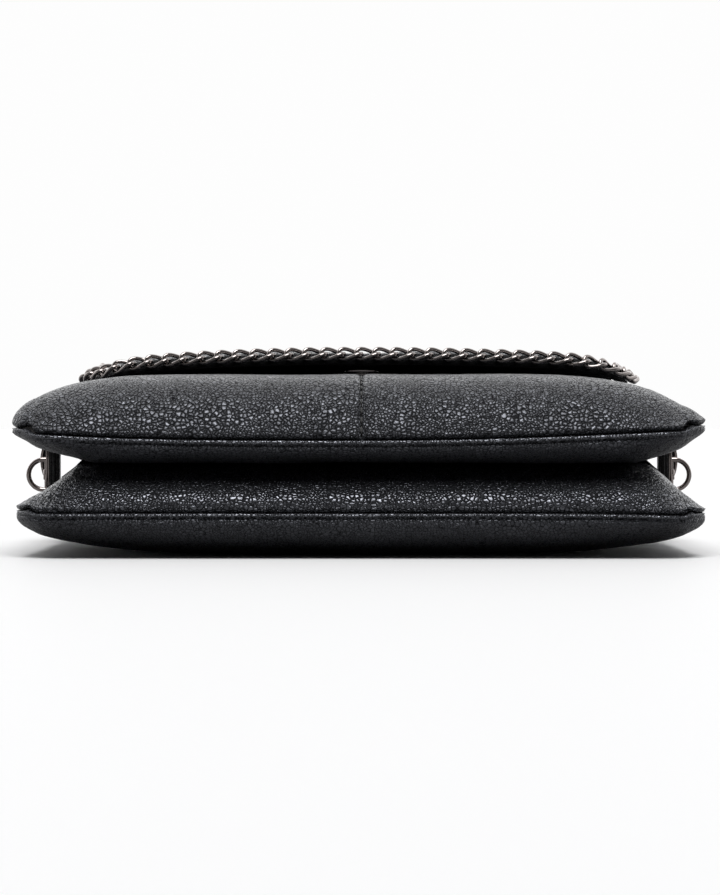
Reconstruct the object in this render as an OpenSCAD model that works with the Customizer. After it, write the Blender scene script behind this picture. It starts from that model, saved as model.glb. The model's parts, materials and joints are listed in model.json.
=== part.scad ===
// Shoulder bag with two pouches and a chain-edged flap, lying on its back.
// X runs across the bag, +Y to its mouth, -Y to its bottom and +Z out of its front.

/* [Body] */
// Width over the side seams
body_w = 284; // [240:1:320]
// Height of a pouch from its bottom seam to its mouth
pouch_h = 169; // [140:1:200]
// Radius of the bottom corners, seen from the front
corner_r = 22; // [12:1:32]
// Thickness of the outer leather
leather_t = 1.4; // [1:0.1:2]
// Thickness of the lining cloth
lining_t = 0.7; // [0.5:0.1:1.2]

/* [Front pouch] */
// Height of the bottom seam above the ground
front_seam_z = 48; // [46:0.5:54]
// Height of the crown above the bottom seam
front_crown = 27.4; // [20:0.2:32]
// How far the seam's ends curl up
seam_curl = 5; // [0:0.5:8]
// Height at which the two pouches meet
meet_z = 38.3; // [34:0.1:42]

/* [Rear pouch] */
// Height of the bottom seam above the ground
rear_seam_z = 18.8; // [16:0.2:22]
// Depth of the belly pressed flat by the ground
belly_press = 0.6; // [0.2:0.1:1.5]

/* [Flap] */
// Width of the flap's leather
flap_w = 239; // [200:1:260]
// Length of the flap from its fold to its free edge
flap_l = 94; // [70:1:120]
// Radius of the flap's corners
flap_corner_r = 27; // [24:1:34]
// Height of the fold at the bag's top above the ground
fold_z = 79.2; // [77:0.2:90]
// Dip of the flap between its fold and its free edge
flap_sag = 0.8; // [0:0.1:2]
// Rise of the free edge above the line of the flap
edge_rise = 2.2; // [0:0.1:6]
// Droop of the flap's edge at the left corner
droop_left = 5.2; // [0:0.1:7]
// Droop of the flap's edge at the right corner
droop_right = 3.4; // [0:0.1:7]
// Further drop of both corners, which turn down over the pouch
corner_drop = 6; // [0:0.1:8]
// Height of the filled flap's arch behind its chained edge
flap_arch = 6.6; // [3:0.1:8]

/* [Chain trim] */
// Wire of the curb links
wire_d = 1.7; // [1.4:0.05:1.9]
// Distance from link to link
link_pitch = 7.6; // [7.4:0.05:8]
// Half the length of a link's middle line
link_a = 5.05; // [4.95:0.05:5.2]
// Half the width of a link's middle line
link_b = 2.8; // [2.6:0.05:3.2]
// Half the twist of a link's middle line
link_twist = 1.2; // [1.15:0.05:1.4]
// Lean of the chain's face from flat
chain_tilt = 38; // [20:1:55]

/* [Snap] */
// Diameter of the snap's discs
snap_d = 16.4; // [14:0.1:20]
// Distance from the flap's free edge to the snap's middle
snap_inset = 17; // [14:0.5:24]
// Diameter of the stud's post
post_d = 6; // [4:0.1:8]

/* [Side hardware] */
// Width of the leather tab along the side
tab_w = 22; // [20:0.5:28]
// Thickness of the folded tab
tab_t = 5; // [3.6:0.1:6]
// Distance from the bottom to the tab's near edge
tab_from_bottom = 128; // [100:1:140]
// Wire of the strap rings
ring_wire_d = 2.2; // [1.8:0.1:2.6]
// Inner radius of a strap ring's bow
ring_bow_r = 5.8; // [5.2:0.1:7]
// Swing clearance of a ring's bar in its knuckle
bar_clear = 0.08; // [0.03:0.01:0.1]

/* [Hidden] */

// Clearance between pieces that lie on each other
clear = 0.3;
// Clearance between the layers of one sewn piece
layer_clear = 0.1;
// Overrun of cuts
over = 1;

// The flap's leather stands this far behind the mouth
mouth_gap = 3.3;
flap_t = leather_t + layer_clear + lining_t;
depth = pouch_h + mouth_gap + flap_t;
bottom_y = -depth / 2;
mouth_y = bottom_y + pouch_h;
half = body_w / 2;
crown_z = front_seam_z + front_crown;

// Swell of a sewn panel: reach from the edge and the two powers of its curve
outer_powers = [4, 2.2];
outer_reach = half;
outer_reach_y = 66;
front_inner_powers = [1, 1.6];
rear_inner_powers = [1.15, 1];
front_inner_reach = 31;
rear_inner_reach = 28;
inner_reach_y = 30;
front_mouth_share = 0.82;
inner_mouth_share = 0.94;
rear_mouth_share = 0.72;

function swell(d, reach, p) =
    pow(1 - pow(1 - min(1, max(0, d) / reach), p[0]), 1 / p[1]);

// Half the width of a pouch at a height y, drawn in by the bottom corners
function half_w(y) =
    let (r = corner_r, up = min(r, y - bottom_y))
    half - r + sqrt(r * r - (r - up) * (r - up));

// Share of the full swell left towards the mouth
crown_y = bottom_y + outer_reach_y;
function taper(y, mouth_share) =
    1 - (1 - mouth_share) * pow(max(0, (y - crown_y) / (mouth_y - crown_y)), 2);

function front_seam(x) = front_seam_z + seam_curl * pow(x / half, 2);
function rear_seam(x) = rear_seam_z;

// A panel's form: side of its seam, reaches across and along, powers and the share of swell at the mouth
FRONT_OUT = [1, outer_reach, outer_reach_y, outer_powers, front_mouth_share];
FRONT_IN = [-1, front_inner_reach, inner_reach_y, front_inner_powers, inner_mouth_share];
REAR_IN = [1, rear_inner_reach, inner_reach_y, rear_inner_powers, inner_mouth_share];
REAR_OUT = [-1, outer_reach, outer_reach_y, outer_powers, rear_mouth_share];

function seam_of(form, x) =
    form == FRONT_OUT || form == FRONT_IN ? front_seam(x) : rear_seam(x);
function plateau_of(form) =
    form == FRONT_OUT ? crown_z :
    form == FRONT_IN ? meet_z + clear / 2 :
    form == REAR_IN ? meet_z - clear / 2 : -belly_press;

// Height of a surface that lies a depth inside the panel's outer face
function panel_z(form, x, y, inside) =
    let (
        side = form[0],
        seam = seam_of(form, x),
        rim = max(0, clear / 2 + leather_t - inside),
        share = swell(half_w(y) - abs(x) - inside, form[1], form[3])
            * swell(y - bottom_y - inside, form[2], form[3])
            * taper(y, form[4]),
        z = seam + side * rim + (plateau_of(form) - seam - side * (rim + inside)) * share
    ) max(z, form == REAR_OUT ? inside : z);

// Sheets between an upper and a lower grid of points
function cell(a, b, c, d) = [[a, d, c], [a, c, b]];
function turned(faces) = [for (f = faces) [f[2], f[1], f[0]]];
module sheet(upper, lower) {
    rows = len(upper);
    cols = len(upper[0]);
    n = rows * cols;
    function at(k, i, j) = k * n + i * cols + j;
    faces = concat(
        [for (i = [0:rows - 2], j = [0:cols - 2])
            each cell(at(0, i, j), at(0, i, j + 1), at(0, i + 1, j + 1), at(0, i + 1, j))],
        [for (i = [0:rows - 2], j = [0:cols - 2])
            each turned(cell(at(1, i, j), at(1, i, j + 1), at(1, i + 1, j + 1), at(1, i + 1, j)))],
        [for (j = [0:cols - 2])
            each cell(at(1, 0, j), at(1, 0, j + 1), at(0, 0, j + 1), at(0, 0, j))],
        [for (j = [0:cols - 2])
            each turned(cell(at(1, rows - 1, j), at(1, rows - 1, j + 1),
                at(0, rows - 1, j + 1), at(0, rows - 1, j)))],
        [for (i = [0:rows - 2])
            each turned(cell(at(1, i, 0), at(1, i + 1, 0), at(0, i + 1, 0), at(0, i, 0)))],
        [for (i = [0:rows - 2])
            each cell(at(1, i, cols - 1), at(1, i + 1, cols - 1),
                at(0, i + 1, cols - 1), at(0, i, cols - 1))]);
    polyhedron([for (grid = [upper, lower], row = grid, p = row) p], faces);
}

// Closed skin through rings of points, with a flat cap at each end
module loft(rings) {
    sides = len(rings[0]);
    last = len(rings) - 1;
    faces = concat(
        [for (i = [0:last - 1], j = [0:sides - 1])
            each cell(i * sides + j, i * sides + (j + 1) % sides,
                (i + 1) * sides + (j + 1) % sides, (i + 1) * sides + j)],
        [[for (j = [0:sides - 1]) j], [for (j = [sides - 1:-1:0]) last * sides + j]]);
    polyhedron([for (ring = rings, p = ring) p], faces);
}

// Rows crowd to the bottom seam and columns to the side seams
panel_rows = 10;
panel_cols = 16;
function row_y(i, rows) = bottom_y + pouch_h * pow(i / rows, 1.8);

// A panel from one side seam to the other, or a half of it that ends beside the centre seam
function panel_x(y, j, cols, from_share, to_share) =
    let (s = sin(90 * (from_share + (to_share - from_share) * j / cols))) s * half_w(y);
module panel(form, from_share = -1, to_share = 1, cols = panel_cols, shift = 0) {
    function grid(inside) = [for (i = [0:panel_rows]) let (y = row_y(i, panel_rows))
        [for (j = [0:cols]) let (
            x = panel_x(y, j, cols, from_share, to_share),
            edge = (from_share == 0 && j == 0) || (to_share == 0 && j == cols))
            [edge ? shift : x, y, panel_z(form, x, y, inside)]]];
    if (form[0] > 0) sheet(grid(0), grid(leather_t));
    else sheet(grid(leather_t), grid(0));
}

module front_panel_left() {
    color("#26262a")
        panel(FRONT_OUT, -1, 0, panel_cols / 2, -clear / 2);
}

module front_panel_right() {
    color("#26262a")
        panel(FRONT_OUT, 0, 1, panel_cols / 2, clear / 2);
}

module front_pouch_back_panel() {
    color("#222226")
        panel(FRONT_IN);
}

module rear_pouch_front_panel() {
    color("#2b2b2f")
        panel(REAR_IN);
}

module rear_pouch_back_panel() {
    color("#1e1e22")
        panel(REAR_OUT);
}

// A lining is a pocket of cloth inside two panels, open at the mouth
lining_rows = 6;
lining_cols = 10;
// Room between a panel and its lining, where the snap's backing plate lies
lining_room = 1.5;
backing_t = 0.6;
lining_inside = leather_t + lining_room;
lining_back = 2;
module lining(upper_form, lower_form) {
    inner = lining_inside + lining_t;
    function ring(y, inside) = let (w = half_w(y) - inside) concat(
        [for (j = [0:lining_cols]) let (x = -w * cos(180 * j / lining_cols))
            [x, y, panel_z(upper_form, x, y, inside)]],
        [for (j = [lining_cols:-1:0]) let (x = -w * cos(180 * j / lining_cols))
            [x, y, panel_z(lower_form, x, y, inside)]]);
    start = bottom_y + lining_inside + lining_back;
    function y_at(i, from) = from + (mouth_y - from) * pow(i / lining_rows, 1.6);
    outer_rings = [for (i = [0:lining_rows])
        ring(y_at(i, start), lining_inside)];
    inner_rings = [for (i = [lining_rows:-1:0])
        ring(y_at(i, start + lining_t), inner)];
    loft(concat(outer_rings, inner_rings));
}

module front_pouch_lining() {
    color("#5a5452")
        lining(FRONT_OUT, FRONT_IN);
}

module rear_pouch_lining() {
    color("#5a5452")
        lining(REAR_IN, REAR_OUT);
}

// A gusset is a folded strip that joins the pouches where they part at the side
gusset_t = 1;
gusset_leaf = 9;
gusset_inset = 23;
gusset_x = half - gusset_inset;
gusset_rows = 8;
module gusset(side) {
    near = crown_y - inner_reach_y / 2;
    rings = [for (i = [0:gusset_rows]) let (
        y = near + (mouth_y - near) * i / gusset_rows,
        tip = gusset_x + gusset_leaf,
        low_in = panel_z(REAR_IN, gusset_x, y, 0) + clear,
        low_out = panel_z(REAR_IN, tip, y, 0) + clear,
        high_in = panel_z(FRONT_IN, gusset_x, y, 0) - clear,
        high_out = panel_z(FRONT_IN, tip, y, 0) - clear)
        [[side * gusset_x, y, low_in], [side * tip, y, low_out],
            [side * tip, y, low_out + gusset_t],
            [side * (gusset_x + gusset_t), y, (low_in + high_in) / 2],
            [side * tip, y, high_out - gusset_t], [side * tip, y, high_out],
            [side * gusset_x, y, high_in]]];
    loft(side > 0 ? rings : [for (k = [gusset_rows:-1:0]) rings[k]]);
}

module gusset_left() {
    color("#242428")
        gusset(-1);
}

module gusset_right() {
    color("#242428")
        gusset(1);
}

// The flap: a hem on the back panel, a span over the bag's top and the front part
flap_half = flap_w / 2;
hem_inset = 12;
hem_half = flap_half - hem_inset;
fold_y = mouth_y + mouth_gap + flap_t / 2;
hinge_z = rear_seam_z / 3;
function hem_z(x) = panel_z(REAR_OUT, x, mouth_y, 0);
module flap_hem() {
    hem_cols = 8;
    near = mouth_y + clear;
    far = fold_y - flap_t / 2;
    function grid(up) = [for (y = [near, far])
        [for (j = [0:hem_cols]) let (x = hem_half * (2 * j / hem_cols - 1)) [x, y, hem_z(x) + up]]];
    color("#1e1e22")
        sheet(grid(leather_t), grid(0));
}

// The span stands upright behind both mouths
span_cols = 8;
module span(near, thick) {
    function grid(y) = [for (k = [0:1])
        [for (j = [0:span_cols]) let (x = flap_half * (2 * j / span_cols - 1),
            foot = hem_z(min(hem_half, abs(x))) + leather_t + clear)
            [x, y, k == 0 ? foot : flap_free_z(x, fold_y) - clear]]];
    sheet(grid(near), grid(near + thick));
}

module flap_top_lining() {
    color("#4c4846")
        span(fold_y - flap_t / 2, lining_t);
}

module flap_top_leather() {
    color("#26262a")
        span(fold_y - flap_t / 2 + lining_t + layer_clear, leather_t);
}

// Height of the flap's underside: its own curve, lifted where it would sink into the pouch
corner_power = 10;
fold_droop_share = 0.1;
flap_lift = 1;
edge_y = fold_y - flap_l;
function flap_free_z(x, y) =
    let (t = min(1, (fold_y - y) / flap_l),
        w = min(1, abs(x) / flap_half),
        droop = (x < 0 ? droop_left : droop_right) * w * w + corner_drop * pow(w, corner_power))
    fold_z - flap_sag * sin(180 * t) + edge_rise * pow(t, 5)
        - droop * (fold_droop_share + (1 - fold_droop_share) * t);
function flap_base_z(x, y) =
    y > mouth_y ? flap_free_z(x, y)
    : max(flap_free_z(x, y), panel_z(FRONT_OUT, x, y, 0) + flap_lift);

// The flap arches up behind its edge, flat again at the fold and over the snap, which holds it down
snap_y = edge_y + snap_inset;
arch_reach = 9;
arch_run_share = 0.66;
fold_flat = 4;
dimple_reach = 10;
function flap_border(x, y) =
    let (r = flap_corner_r, dx = abs(x) - flap_half + r, dy = edge_y + r - y)
    max(0, dx > 0 && dy > 0 ? r - norm([dx, dy]) : min(flap_half - abs(x), y - edge_y));
function arch_z(x, y) =
    let (along = min(1, max(0, (fold_y - fold_flat - y) / (flap_l * arch_run_share))),
        off = max(0, norm([x, y - snap_y]) - snap_d / 2) / dimple_reach)
    flap_arch * (1 - exp(-flap_border(x, y) / arch_reach)) * (1 - exp(-off * off))
        * along * along * (3 - 2 * along);
function flap_z(x, y) = flap_base_z(x, y) + arch_z(x, y);
function flap_half_w(y) =
    let (r = flap_corner_r, up = min(r, y - edge_y))
    flap_half - r + sqrt(r * r - (r - up) * (r - up));

flap_rows = 10;
flap_cols = 16;
module flap_layer(up, thick) {
    function grid(z) = [for (i = [0:flap_rows]) let (y = edge_y + (flap_l - layer_clear) * pow(i / flap_rows, 1.5))
        [for (j = [0:flap_cols]) let (x = flap_half_w(y) * sin(90 * (2 * j / flap_cols - 1)))
            [x, y, flap_z(x, y) + z]]];
    sheet(grid(up + thick), grid(up));
}

module flap_front_lining() {
    color("#4c4846")
        flap_layer(0, lining_t);
}

module flap_front_leather() {
    color("#26262a")
        flap_layer(lining_t + layer_clear, leather_t);
}

// The curb chain follows the flap's edge: down one side, round the corners and across the front
chain_out = 2;
chain_up = 1.3;
chain_start = 8;
path_r = flap_corner_r + chain_out;
path_side = flap_l - chain_start - flap_corner_r;
path_arc = path_r * PI / 2;
path_front = flap_w - 2 * flap_corner_r;
path_l = 2 * (path_side + path_arc) + path_front;

// Place and outward direction of the path at a length s, seen from the front
function half_path(s) =
    s < path_side ? [[-flap_half - chain_out, fold_y - chain_start - s], 180] :
    s < path_side + path_arc ?
        let (a = 180 + 90 * (s - path_side) / path_arc)
        [[-flap_half + flap_corner_r + path_r * cos(a), edge_y + flap_corner_r + path_r * sin(a)], a] :
    [[-flap_half + flap_corner_r + s - path_side - path_arc, edge_y - chain_out], 270];
function path(s) =
    s <= path_l / 2 ? half_path(s)
    : let (h = half_path(path_l - s)) [[-h[0][0], h[0][1]], 540 - h[1]];
function path_point(s) =
    let (h = path(s), q = h[0] - chain_out * [cos(h[1]), sin(h[1])])
    [h[0][0], h[0][1], flap_z(q[0], q[1]) + flap_t + chain_up];

// Links are spaced along the path's real length, which also climbs and falls
path_steps = 180;
path_places = [for (k = [0:path_steps]) path_point(path_l * k / path_steps)];
path_table = [for (k = 0, run = 0; k <= path_steps;
    run = run + (k < path_steps ? norm(path_places[k + 1] - path_places[k]) : 0), k = k + 1)
    [run, path_l * k / path_steps]];
chain_l = path_table[path_steps][0];
link_n = floor(chain_l / link_pitch);
link_first = (chain_l - link_n * link_pitch) / 2;
function link_s(i) = lookup(link_first + (i + 0.5) * link_pitch, path_table);

function unit(v) = v / norm(v);
function ring_of(centre, tangent, side_dir, radius, sides) =
    let (t = unit(tangent), e = unit(side_dir - (side_dir * t) * t), f = cross(t, e))
    [for (k = [0:sides - 1]) centre + radius * (cos(360 * k / sides) * e + sin(360 * k / sides) * f)];

link_rings = 12;
link_sides = 6;
module curb_link(s) {
    step = link_pitch / 8;
    p = path_point(s);
    out = path(s)[1];
    along = unit(path_point(s + step) - path_point(s - step));
    lean = [cos(out) * cos(chain_tilt), sin(out) * cos(chain_tilt), -sin(chain_tilt)];
    wide = unit(lean - (lean * along) * along);
    face = cross(wide, along);
    rings = [for (k = [0:link_rings - 1]) let (
        t = 360 * k / link_rings,
        centre = p + link_a * cos(t) * along + link_b * sin(t) * wide + link_twist * sin(2 * t) * face,
        tangent = -link_a * sin(t) * along + link_b * cos(t) * wide + 2 * link_twist * cos(2 * t) * face,
        away = link_b * cos(t) * along + link_a * sin(t) * wide)
        ring_of(centre, tangent, away, wire_d / 2, link_sides)];
    faces = [for (k = [0:link_rings - 1], j = [0:link_sides - 1])
        let (n = (k + 1) % link_rings, m = (j + 1) % link_sides)
        each cell(k * link_sides + j, k * link_sides + m, n * link_sides + m, n * link_sides + j)];
    polyhedron([for (ring = rings, q = ring) q], faces);
}

module chain(from, to) {
    for (i = [from:to])
        curb_link(link_s(i));
}

side_links = floor((path_side + path_arc) / link_pitch);
module chain_left() {
    color("#6f6663")
        chain(0, side_links - 1);
}

module chain_front() {
    color("#6f6663")
        chain(side_links, link_n - side_links - 1);
}

module chain_right() {
    color("#6f6663")
        chain(link_n - side_links, link_n - 1);
}

// The snap holds the flap: a socket with a magnet on the panel and a stud on the flap
snap_spots = [for (a = [0:45:315], r = [0, snap_d / 2]) [r * cos(a), snap_y + r * sin(a)]];
seat_z = max([for (q = snap_spots) panel_z(FRONT_OUT, q[0], q[1], 0)]) + clear;
stud_top = min([for (q = snap_spots) flap_z(q[0], q[1])]) - clear;
disc_gap = clear;
socket_share = 0.56;
post_share = 0.6;
magnet_share = 0.3;
socket_h = (stud_top - seat_z) * socket_share;
stud_h = stud_top - seat_z - socket_h - disc_gap;
post_h = socket_h * post_share;
magnet_t = socket_h * magnet_share;
socket_wall = 1;
module disc(z, d, h) {
    translate([0, snap_y, z]) cylinder(d = d, h = h, $fn = 64);
}

module snap_socket() {
    magnet_d = snap_d - 2 * socket_wall;
    color("#8d8480")
        difference() {
            disc(seat_z, snap_d, socket_h);
            disc(seat_z + socket_h - post_h - clear, post_d + 2 * clear, post_h + over);
            disc(seat_z - over, magnet_d, over + magnet_t + layer_clear);
        }
}

module snap_magnet() {
    color("#4a4a4c")
        disc(seat_z, snap_d - 2 * socket_wall - 2 * layer_clear, magnet_t);
}

module snap_backing_plate() {
    color("#8d8480")
        disc(min([for (q = snap_spots) panel_z(FRONT_OUT, q[0], q[1], leather_t)]) - clear / 2 - backing_t,
            snap_d - 2 * socket_wall, backing_t);
}

module snap_stud() {
    color("#8d8480")
        union() {
            disc(stud_top - stud_h, snap_d, stud_h);
            disc(stud_top - stud_h - post_h, post_d, post_h + stud_h / 2);
        }
}

// The side tabs bridge the pouches; each carries a keeper plate, and the ring's bar turns in its knuckle
tab_y = bottom_y + tab_from_bottom;
tab_mid_y = tab_y + tab_w / 2;
tab_inset = 1;
tab_out = half - tab_inset;
tab_in = tab_out - tab_t;
tab_rise = 12;
plate_t = 0.6;
plate_inset = 1;
bar_r = ring_wire_d / 2;
bar_x = tab_out + plate_t + bar_r + clear;
ring_shift = 3.4;
ring_y = tab_y + tab_w / 2 - ring_shift;
ring_z = 31.4;
keeper_z = 36.2;
keeper_l = 20;
leg_l = 1.4;

// The tab's ends follow the two panels that it is sewn to
module side_tab(side) {
    function low(x) = panel_z(REAR_IN, x, tab_y, 0) + clear;
    function high(x) = panel_z(FRONT_IN, x, tab_y, 0) - clear;
    steps = 3;
    xs = [for (k = [0:steps]) tab_in + tab_t * k / steps];
    outline = concat([for (x = xs) [side * x, low(x)]],
        [for (k = [steps:-1:0]) [side * xs[k], min(high(xs[k]), high(tab_in) + tab_rise * k / steps)]]);
    translate([0, tab_y + tab_w, 0]) rotate([90, 0, 0]) linear_extrude(tab_w) polygon(outline);
}

module side_tab_left() {
    color("#1c1c20")
        side_tab(-1);
}

module side_tab_right() {
    color("#1c1c20")
        side_tab(1);
}

// The keeper: a lens-shaped plate, a rib at its front edge, a bow behind the ring and the knuckle
rib_w = 2.6;
rib_t = 1.9;
bow_w = 2.6;
bow_t = 1.5;
bow_rise = 4.4;
bow_in_share = 0.86;
knuckle_l = 4.6;
knuckle_wall = 0.6;
rivet_d = 3;
module lens(length, rise) {
    r = (length * length / 4 + rise * rise) / (2 * rise);
    intersection() {
        translate([0, rise - r]) circle(r, $fn = 96);
        translate([-length / 2, 0]) square([length, rise]);
    }
}

module keeper(side) {
    plate_w = tab_w - 2 * plate_inset;
    bow_l = keeper_l * bow_in_share;
    foot_x = tab_out + clear / 3;
    module edge_lens(y, width, length, rise) {
        translate([foot_x, y + width, keeper_z]) rotate([90, 0, 0])
            linear_extrude(width) rotate(-90) lens(length, rise);
    }
    mirror([side < 0 ? 1 : 0, 0, 0])
        difference() {
            union() {
                translate([foot_x, tab_mid_y - plate_w / 2, keeper_z - keeper_l / 2])
                    cube([plate_t, plate_w, keeper_l]);
                edge_lens(tab_mid_y - plate_w / 2, rib_w, keeper_l, rib_t);
                difference() {
                    edge_lens(tab_mid_y + plate_w / 2 - bow_w, bow_w, keeper_l, plate_t + bow_rise);
                    translate([0, over / 2, 0])
                        edge_lens(tab_mid_y + plate_w / 2 - bow_w - over, bow_w + over,
                            bow_l, plate_t + bow_rise - bow_t);
                }
                translate([bar_x, ring_y, ring_z - knuckle_l / 2])
                    cylinder(r = bar_r + bar_clear + knuckle_wall, h = knuckle_l, $fn = 48);
                translate([foot_x, ring_y - bar_r, ring_z - knuckle_l / 2])
                    cube([bar_x - foot_x, 2 * bar_r, knuckle_l]);
            }
            translate([bar_x, ring_y, ring_z - keeper_l])
                cylinder(r = bar_r + bar_clear, h = 2 * keeper_l, $fn = 48);
        }
}

module ring_keeper_left() {
    color("#7b716d")
        keeper(-1);
}

module ring_keeper_right() {
    color("#7b716d")
        keeper(1);
}

module keeper_rivets(side) {
    head_h = 0.9;
    for (k = [-1, 1])
        translate([side * (tab_out + clear / 3 + plate_t), tab_mid_y, keeper_z + k * keeper_l / 3])
            rotate([0, side * 90, 0])
                cylinder(d = rivet_d, h = head_h, $fn = 32);
}

module keeper_rivets_left() {
    color("#8d8480")
        keeper_rivets(-1);
}

module keeper_rivets_right() {
    color("#8d8480")
        keeper_rivets(1);
}

// A D-ring: half a torus, two short legs and the straight bar
module d_ring(side) {
    bow_r = ring_bow_r + bar_r;
    mirror([side < 0 ? 1 : 0, 0, 0])
        translate([bar_x, ring_y, ring_z])
            union() {
                translate([leg_l, 0, 0]) rotate([90, 0, 0]) rotate([0, 0, -90])
                    rotate_extrude(angle = 180, $fn = 96) translate([bow_r, 0]) circle(bar_r, $fn = 32);
                for (k = [-1, 1])
                    translate([0, 0, k * bow_r]) {
                        rotate([0, 90, 0]) cylinder(r = bar_r, h = leg_l, $fn = 32);
                        sphere(bar_r, $fn = 32);
                    }
                translate([0, 0, -bow_r]) cylinder(r = bar_r, h = 2 * bow_r, $fn = 32);
            }
}

module d_ring_left() {
    color("#8b807c")
        d_ring(-1);
}

module d_ring_right() {
    color("#8b807c")
        d_ring(1);
}

front_panel_left();
front_panel_right();
front_pouch_back_panel();
front_pouch_lining();
rear_pouch_front_panel();
rear_pouch_back_panel();
rear_pouch_lining();
gusset_left();
gusset_right();
flap_hem();
flap_top_leather();
flap_top_lining();
flap_front_leather();
flap_front_lining();
chain_left();
chain_front();
chain_right();
snap_socket();
snap_magnet();
snap_backing_plate();
snap_stud();
side_tab_left();
side_tab_right();
ring_keeper_left();
ring_keeper_right();
keeper_rivets_left();
keeper_rivets_right();
d_ring_left();
d_ring_right();
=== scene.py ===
"""The looks of a two-pouch shoulder bag that lies on its back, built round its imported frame.

Lengths are in millimetres in the classes, and are turned to metres where a mesh is made.
"""

from __future__ import annotations

import json
import logging
import math
from dataclasses import dataclass
from enum import Enum
from typing import Callable, Iterable, Sequence

import bmesh
import bpy
from mathutils import Matrix, Vector, noise

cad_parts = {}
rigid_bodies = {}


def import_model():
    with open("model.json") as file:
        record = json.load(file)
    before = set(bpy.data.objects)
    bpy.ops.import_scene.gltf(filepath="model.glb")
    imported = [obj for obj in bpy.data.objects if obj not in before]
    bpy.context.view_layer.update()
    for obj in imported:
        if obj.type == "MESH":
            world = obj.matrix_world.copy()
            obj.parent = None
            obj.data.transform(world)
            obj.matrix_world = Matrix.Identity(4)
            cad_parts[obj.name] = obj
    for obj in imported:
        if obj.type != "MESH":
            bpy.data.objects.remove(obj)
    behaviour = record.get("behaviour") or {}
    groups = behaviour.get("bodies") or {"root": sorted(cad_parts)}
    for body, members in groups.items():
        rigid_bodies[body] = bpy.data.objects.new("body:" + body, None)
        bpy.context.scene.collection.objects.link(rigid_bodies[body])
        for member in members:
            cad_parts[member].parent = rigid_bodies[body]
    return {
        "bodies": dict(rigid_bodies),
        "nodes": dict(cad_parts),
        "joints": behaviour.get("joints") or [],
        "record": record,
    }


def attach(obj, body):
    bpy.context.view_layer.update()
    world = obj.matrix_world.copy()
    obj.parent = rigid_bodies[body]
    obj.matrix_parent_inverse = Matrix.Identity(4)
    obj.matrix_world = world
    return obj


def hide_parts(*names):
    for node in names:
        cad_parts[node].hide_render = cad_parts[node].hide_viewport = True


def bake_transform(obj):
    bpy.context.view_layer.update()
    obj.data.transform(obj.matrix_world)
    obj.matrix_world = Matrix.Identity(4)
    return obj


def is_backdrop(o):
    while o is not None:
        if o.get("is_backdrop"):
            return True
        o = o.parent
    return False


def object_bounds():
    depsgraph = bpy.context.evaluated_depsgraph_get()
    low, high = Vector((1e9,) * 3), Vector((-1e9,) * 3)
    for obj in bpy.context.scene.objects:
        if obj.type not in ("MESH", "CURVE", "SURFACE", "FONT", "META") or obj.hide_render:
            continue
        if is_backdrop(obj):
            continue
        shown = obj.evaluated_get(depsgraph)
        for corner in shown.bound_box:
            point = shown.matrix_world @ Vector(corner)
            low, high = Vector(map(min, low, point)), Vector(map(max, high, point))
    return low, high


MM = 0.001
SIDES = ((-1, "left"), (1, "right"))
UP = Vector((0, 0, 1))
LOG = logging.getLogger("bag")


def bell(d: float, width: float) -> float:
    """A smooth bump: 1 in its middle and almost none at twice its width."""
    return math.exp(-((d / width) ** 2))


def step(d: float, width: float) -> float:
    """A smooth step from 0 to 1."""
    return 1 / (1 + math.exp(-d / width))


def drift(x: float, y: float, layer: float, size: tuple[float, float]) -> float:
    """Slow noise over a sheet, with waves of about a size."""
    return noise.noise(Vector((x / size[0], y / size[1], layer)))


def paces(points: Sequence[Vector], pitch: float, stretched: bool) -> list[tuple[int, float]]:
    """Finds places at even steps along a line.

    Args:
        points: The line, close enough together to follow its bends.
        pitch: Length of a step.
        stretched: Whether the steps fill the line, or else keep their length and are centred on it.

    Returns:
        For each place, the number of the point before it and its share of the way to the next.
    """
    runs = [0.0]
    for a, b in zip(points, points[1:]):
        runs.append(runs[-1] + (b - a).length)
    count = max(1, int(runs[-1] / pitch))
    length = runs[-1] / count if stretched else pitch
    first = (runs[-1] - count * length) / 2
    found, k = [], 0
    for i in range(count):
        want = first + (i + 0.5) * length
        while runs[k + 1] < want:
            k += 1
        found.append((k, (want - runs[k]) / max(1e-6, runs[k + 1] - runs[k])))
    return found


@dataclass(frozen=True)
class Curve:
    """How a bulge rises from a seam: distance to its full height and the powers that round it."""

    reach: float
    powers: tuple[float, float]

    def share(self, d: float) -> float:
        """Share of the full bulge at a distance from the seam."""
        t = min(1.0, max(0.0, d) / self.reach)
        return (1 - (1 - t) ** self.powers[0]) ** (1 / self.powers[1])


@dataclass(frozen=True)
class Swell:
    """How a sewn panel bulges: side of its seam, curves from its edges and the share left at the mouth."""

    side: int
    left: Curve
    right: Curve
    along: Curve
    mouth_share: float


class Form(Enum):
    """The four outer panels of the two pouches."""

    FRONT_OUT = Swell(1, Curve(142.0, (7.5, 1.7)), Curve(142.0, (7.5, 1.0)), Curve(66.0, (5.4, 1.1)), 0.82)
    FRONT_IN = Swell(-1, Curve(32.0, (0.85, 1.39)), Curve(27.5, (1.0, 1.39)), Curve(36.0, (3.4, 2.4)), 0.94)
    REAR_IN = Swell(1, Curve(23.5, (1.0, 1.0)), Curve(21.5, (1.5, 0.75)), Curve(66.0, (2.4, 2.0)), 0.94)
    REAR_OUT = Swell(-1, Curve(142.0, (4.0, 2.2)), Curve(142.0, (4.0, 2.2)), Curve(66.0, (2.6, 2.4)), 0.72)


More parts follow.
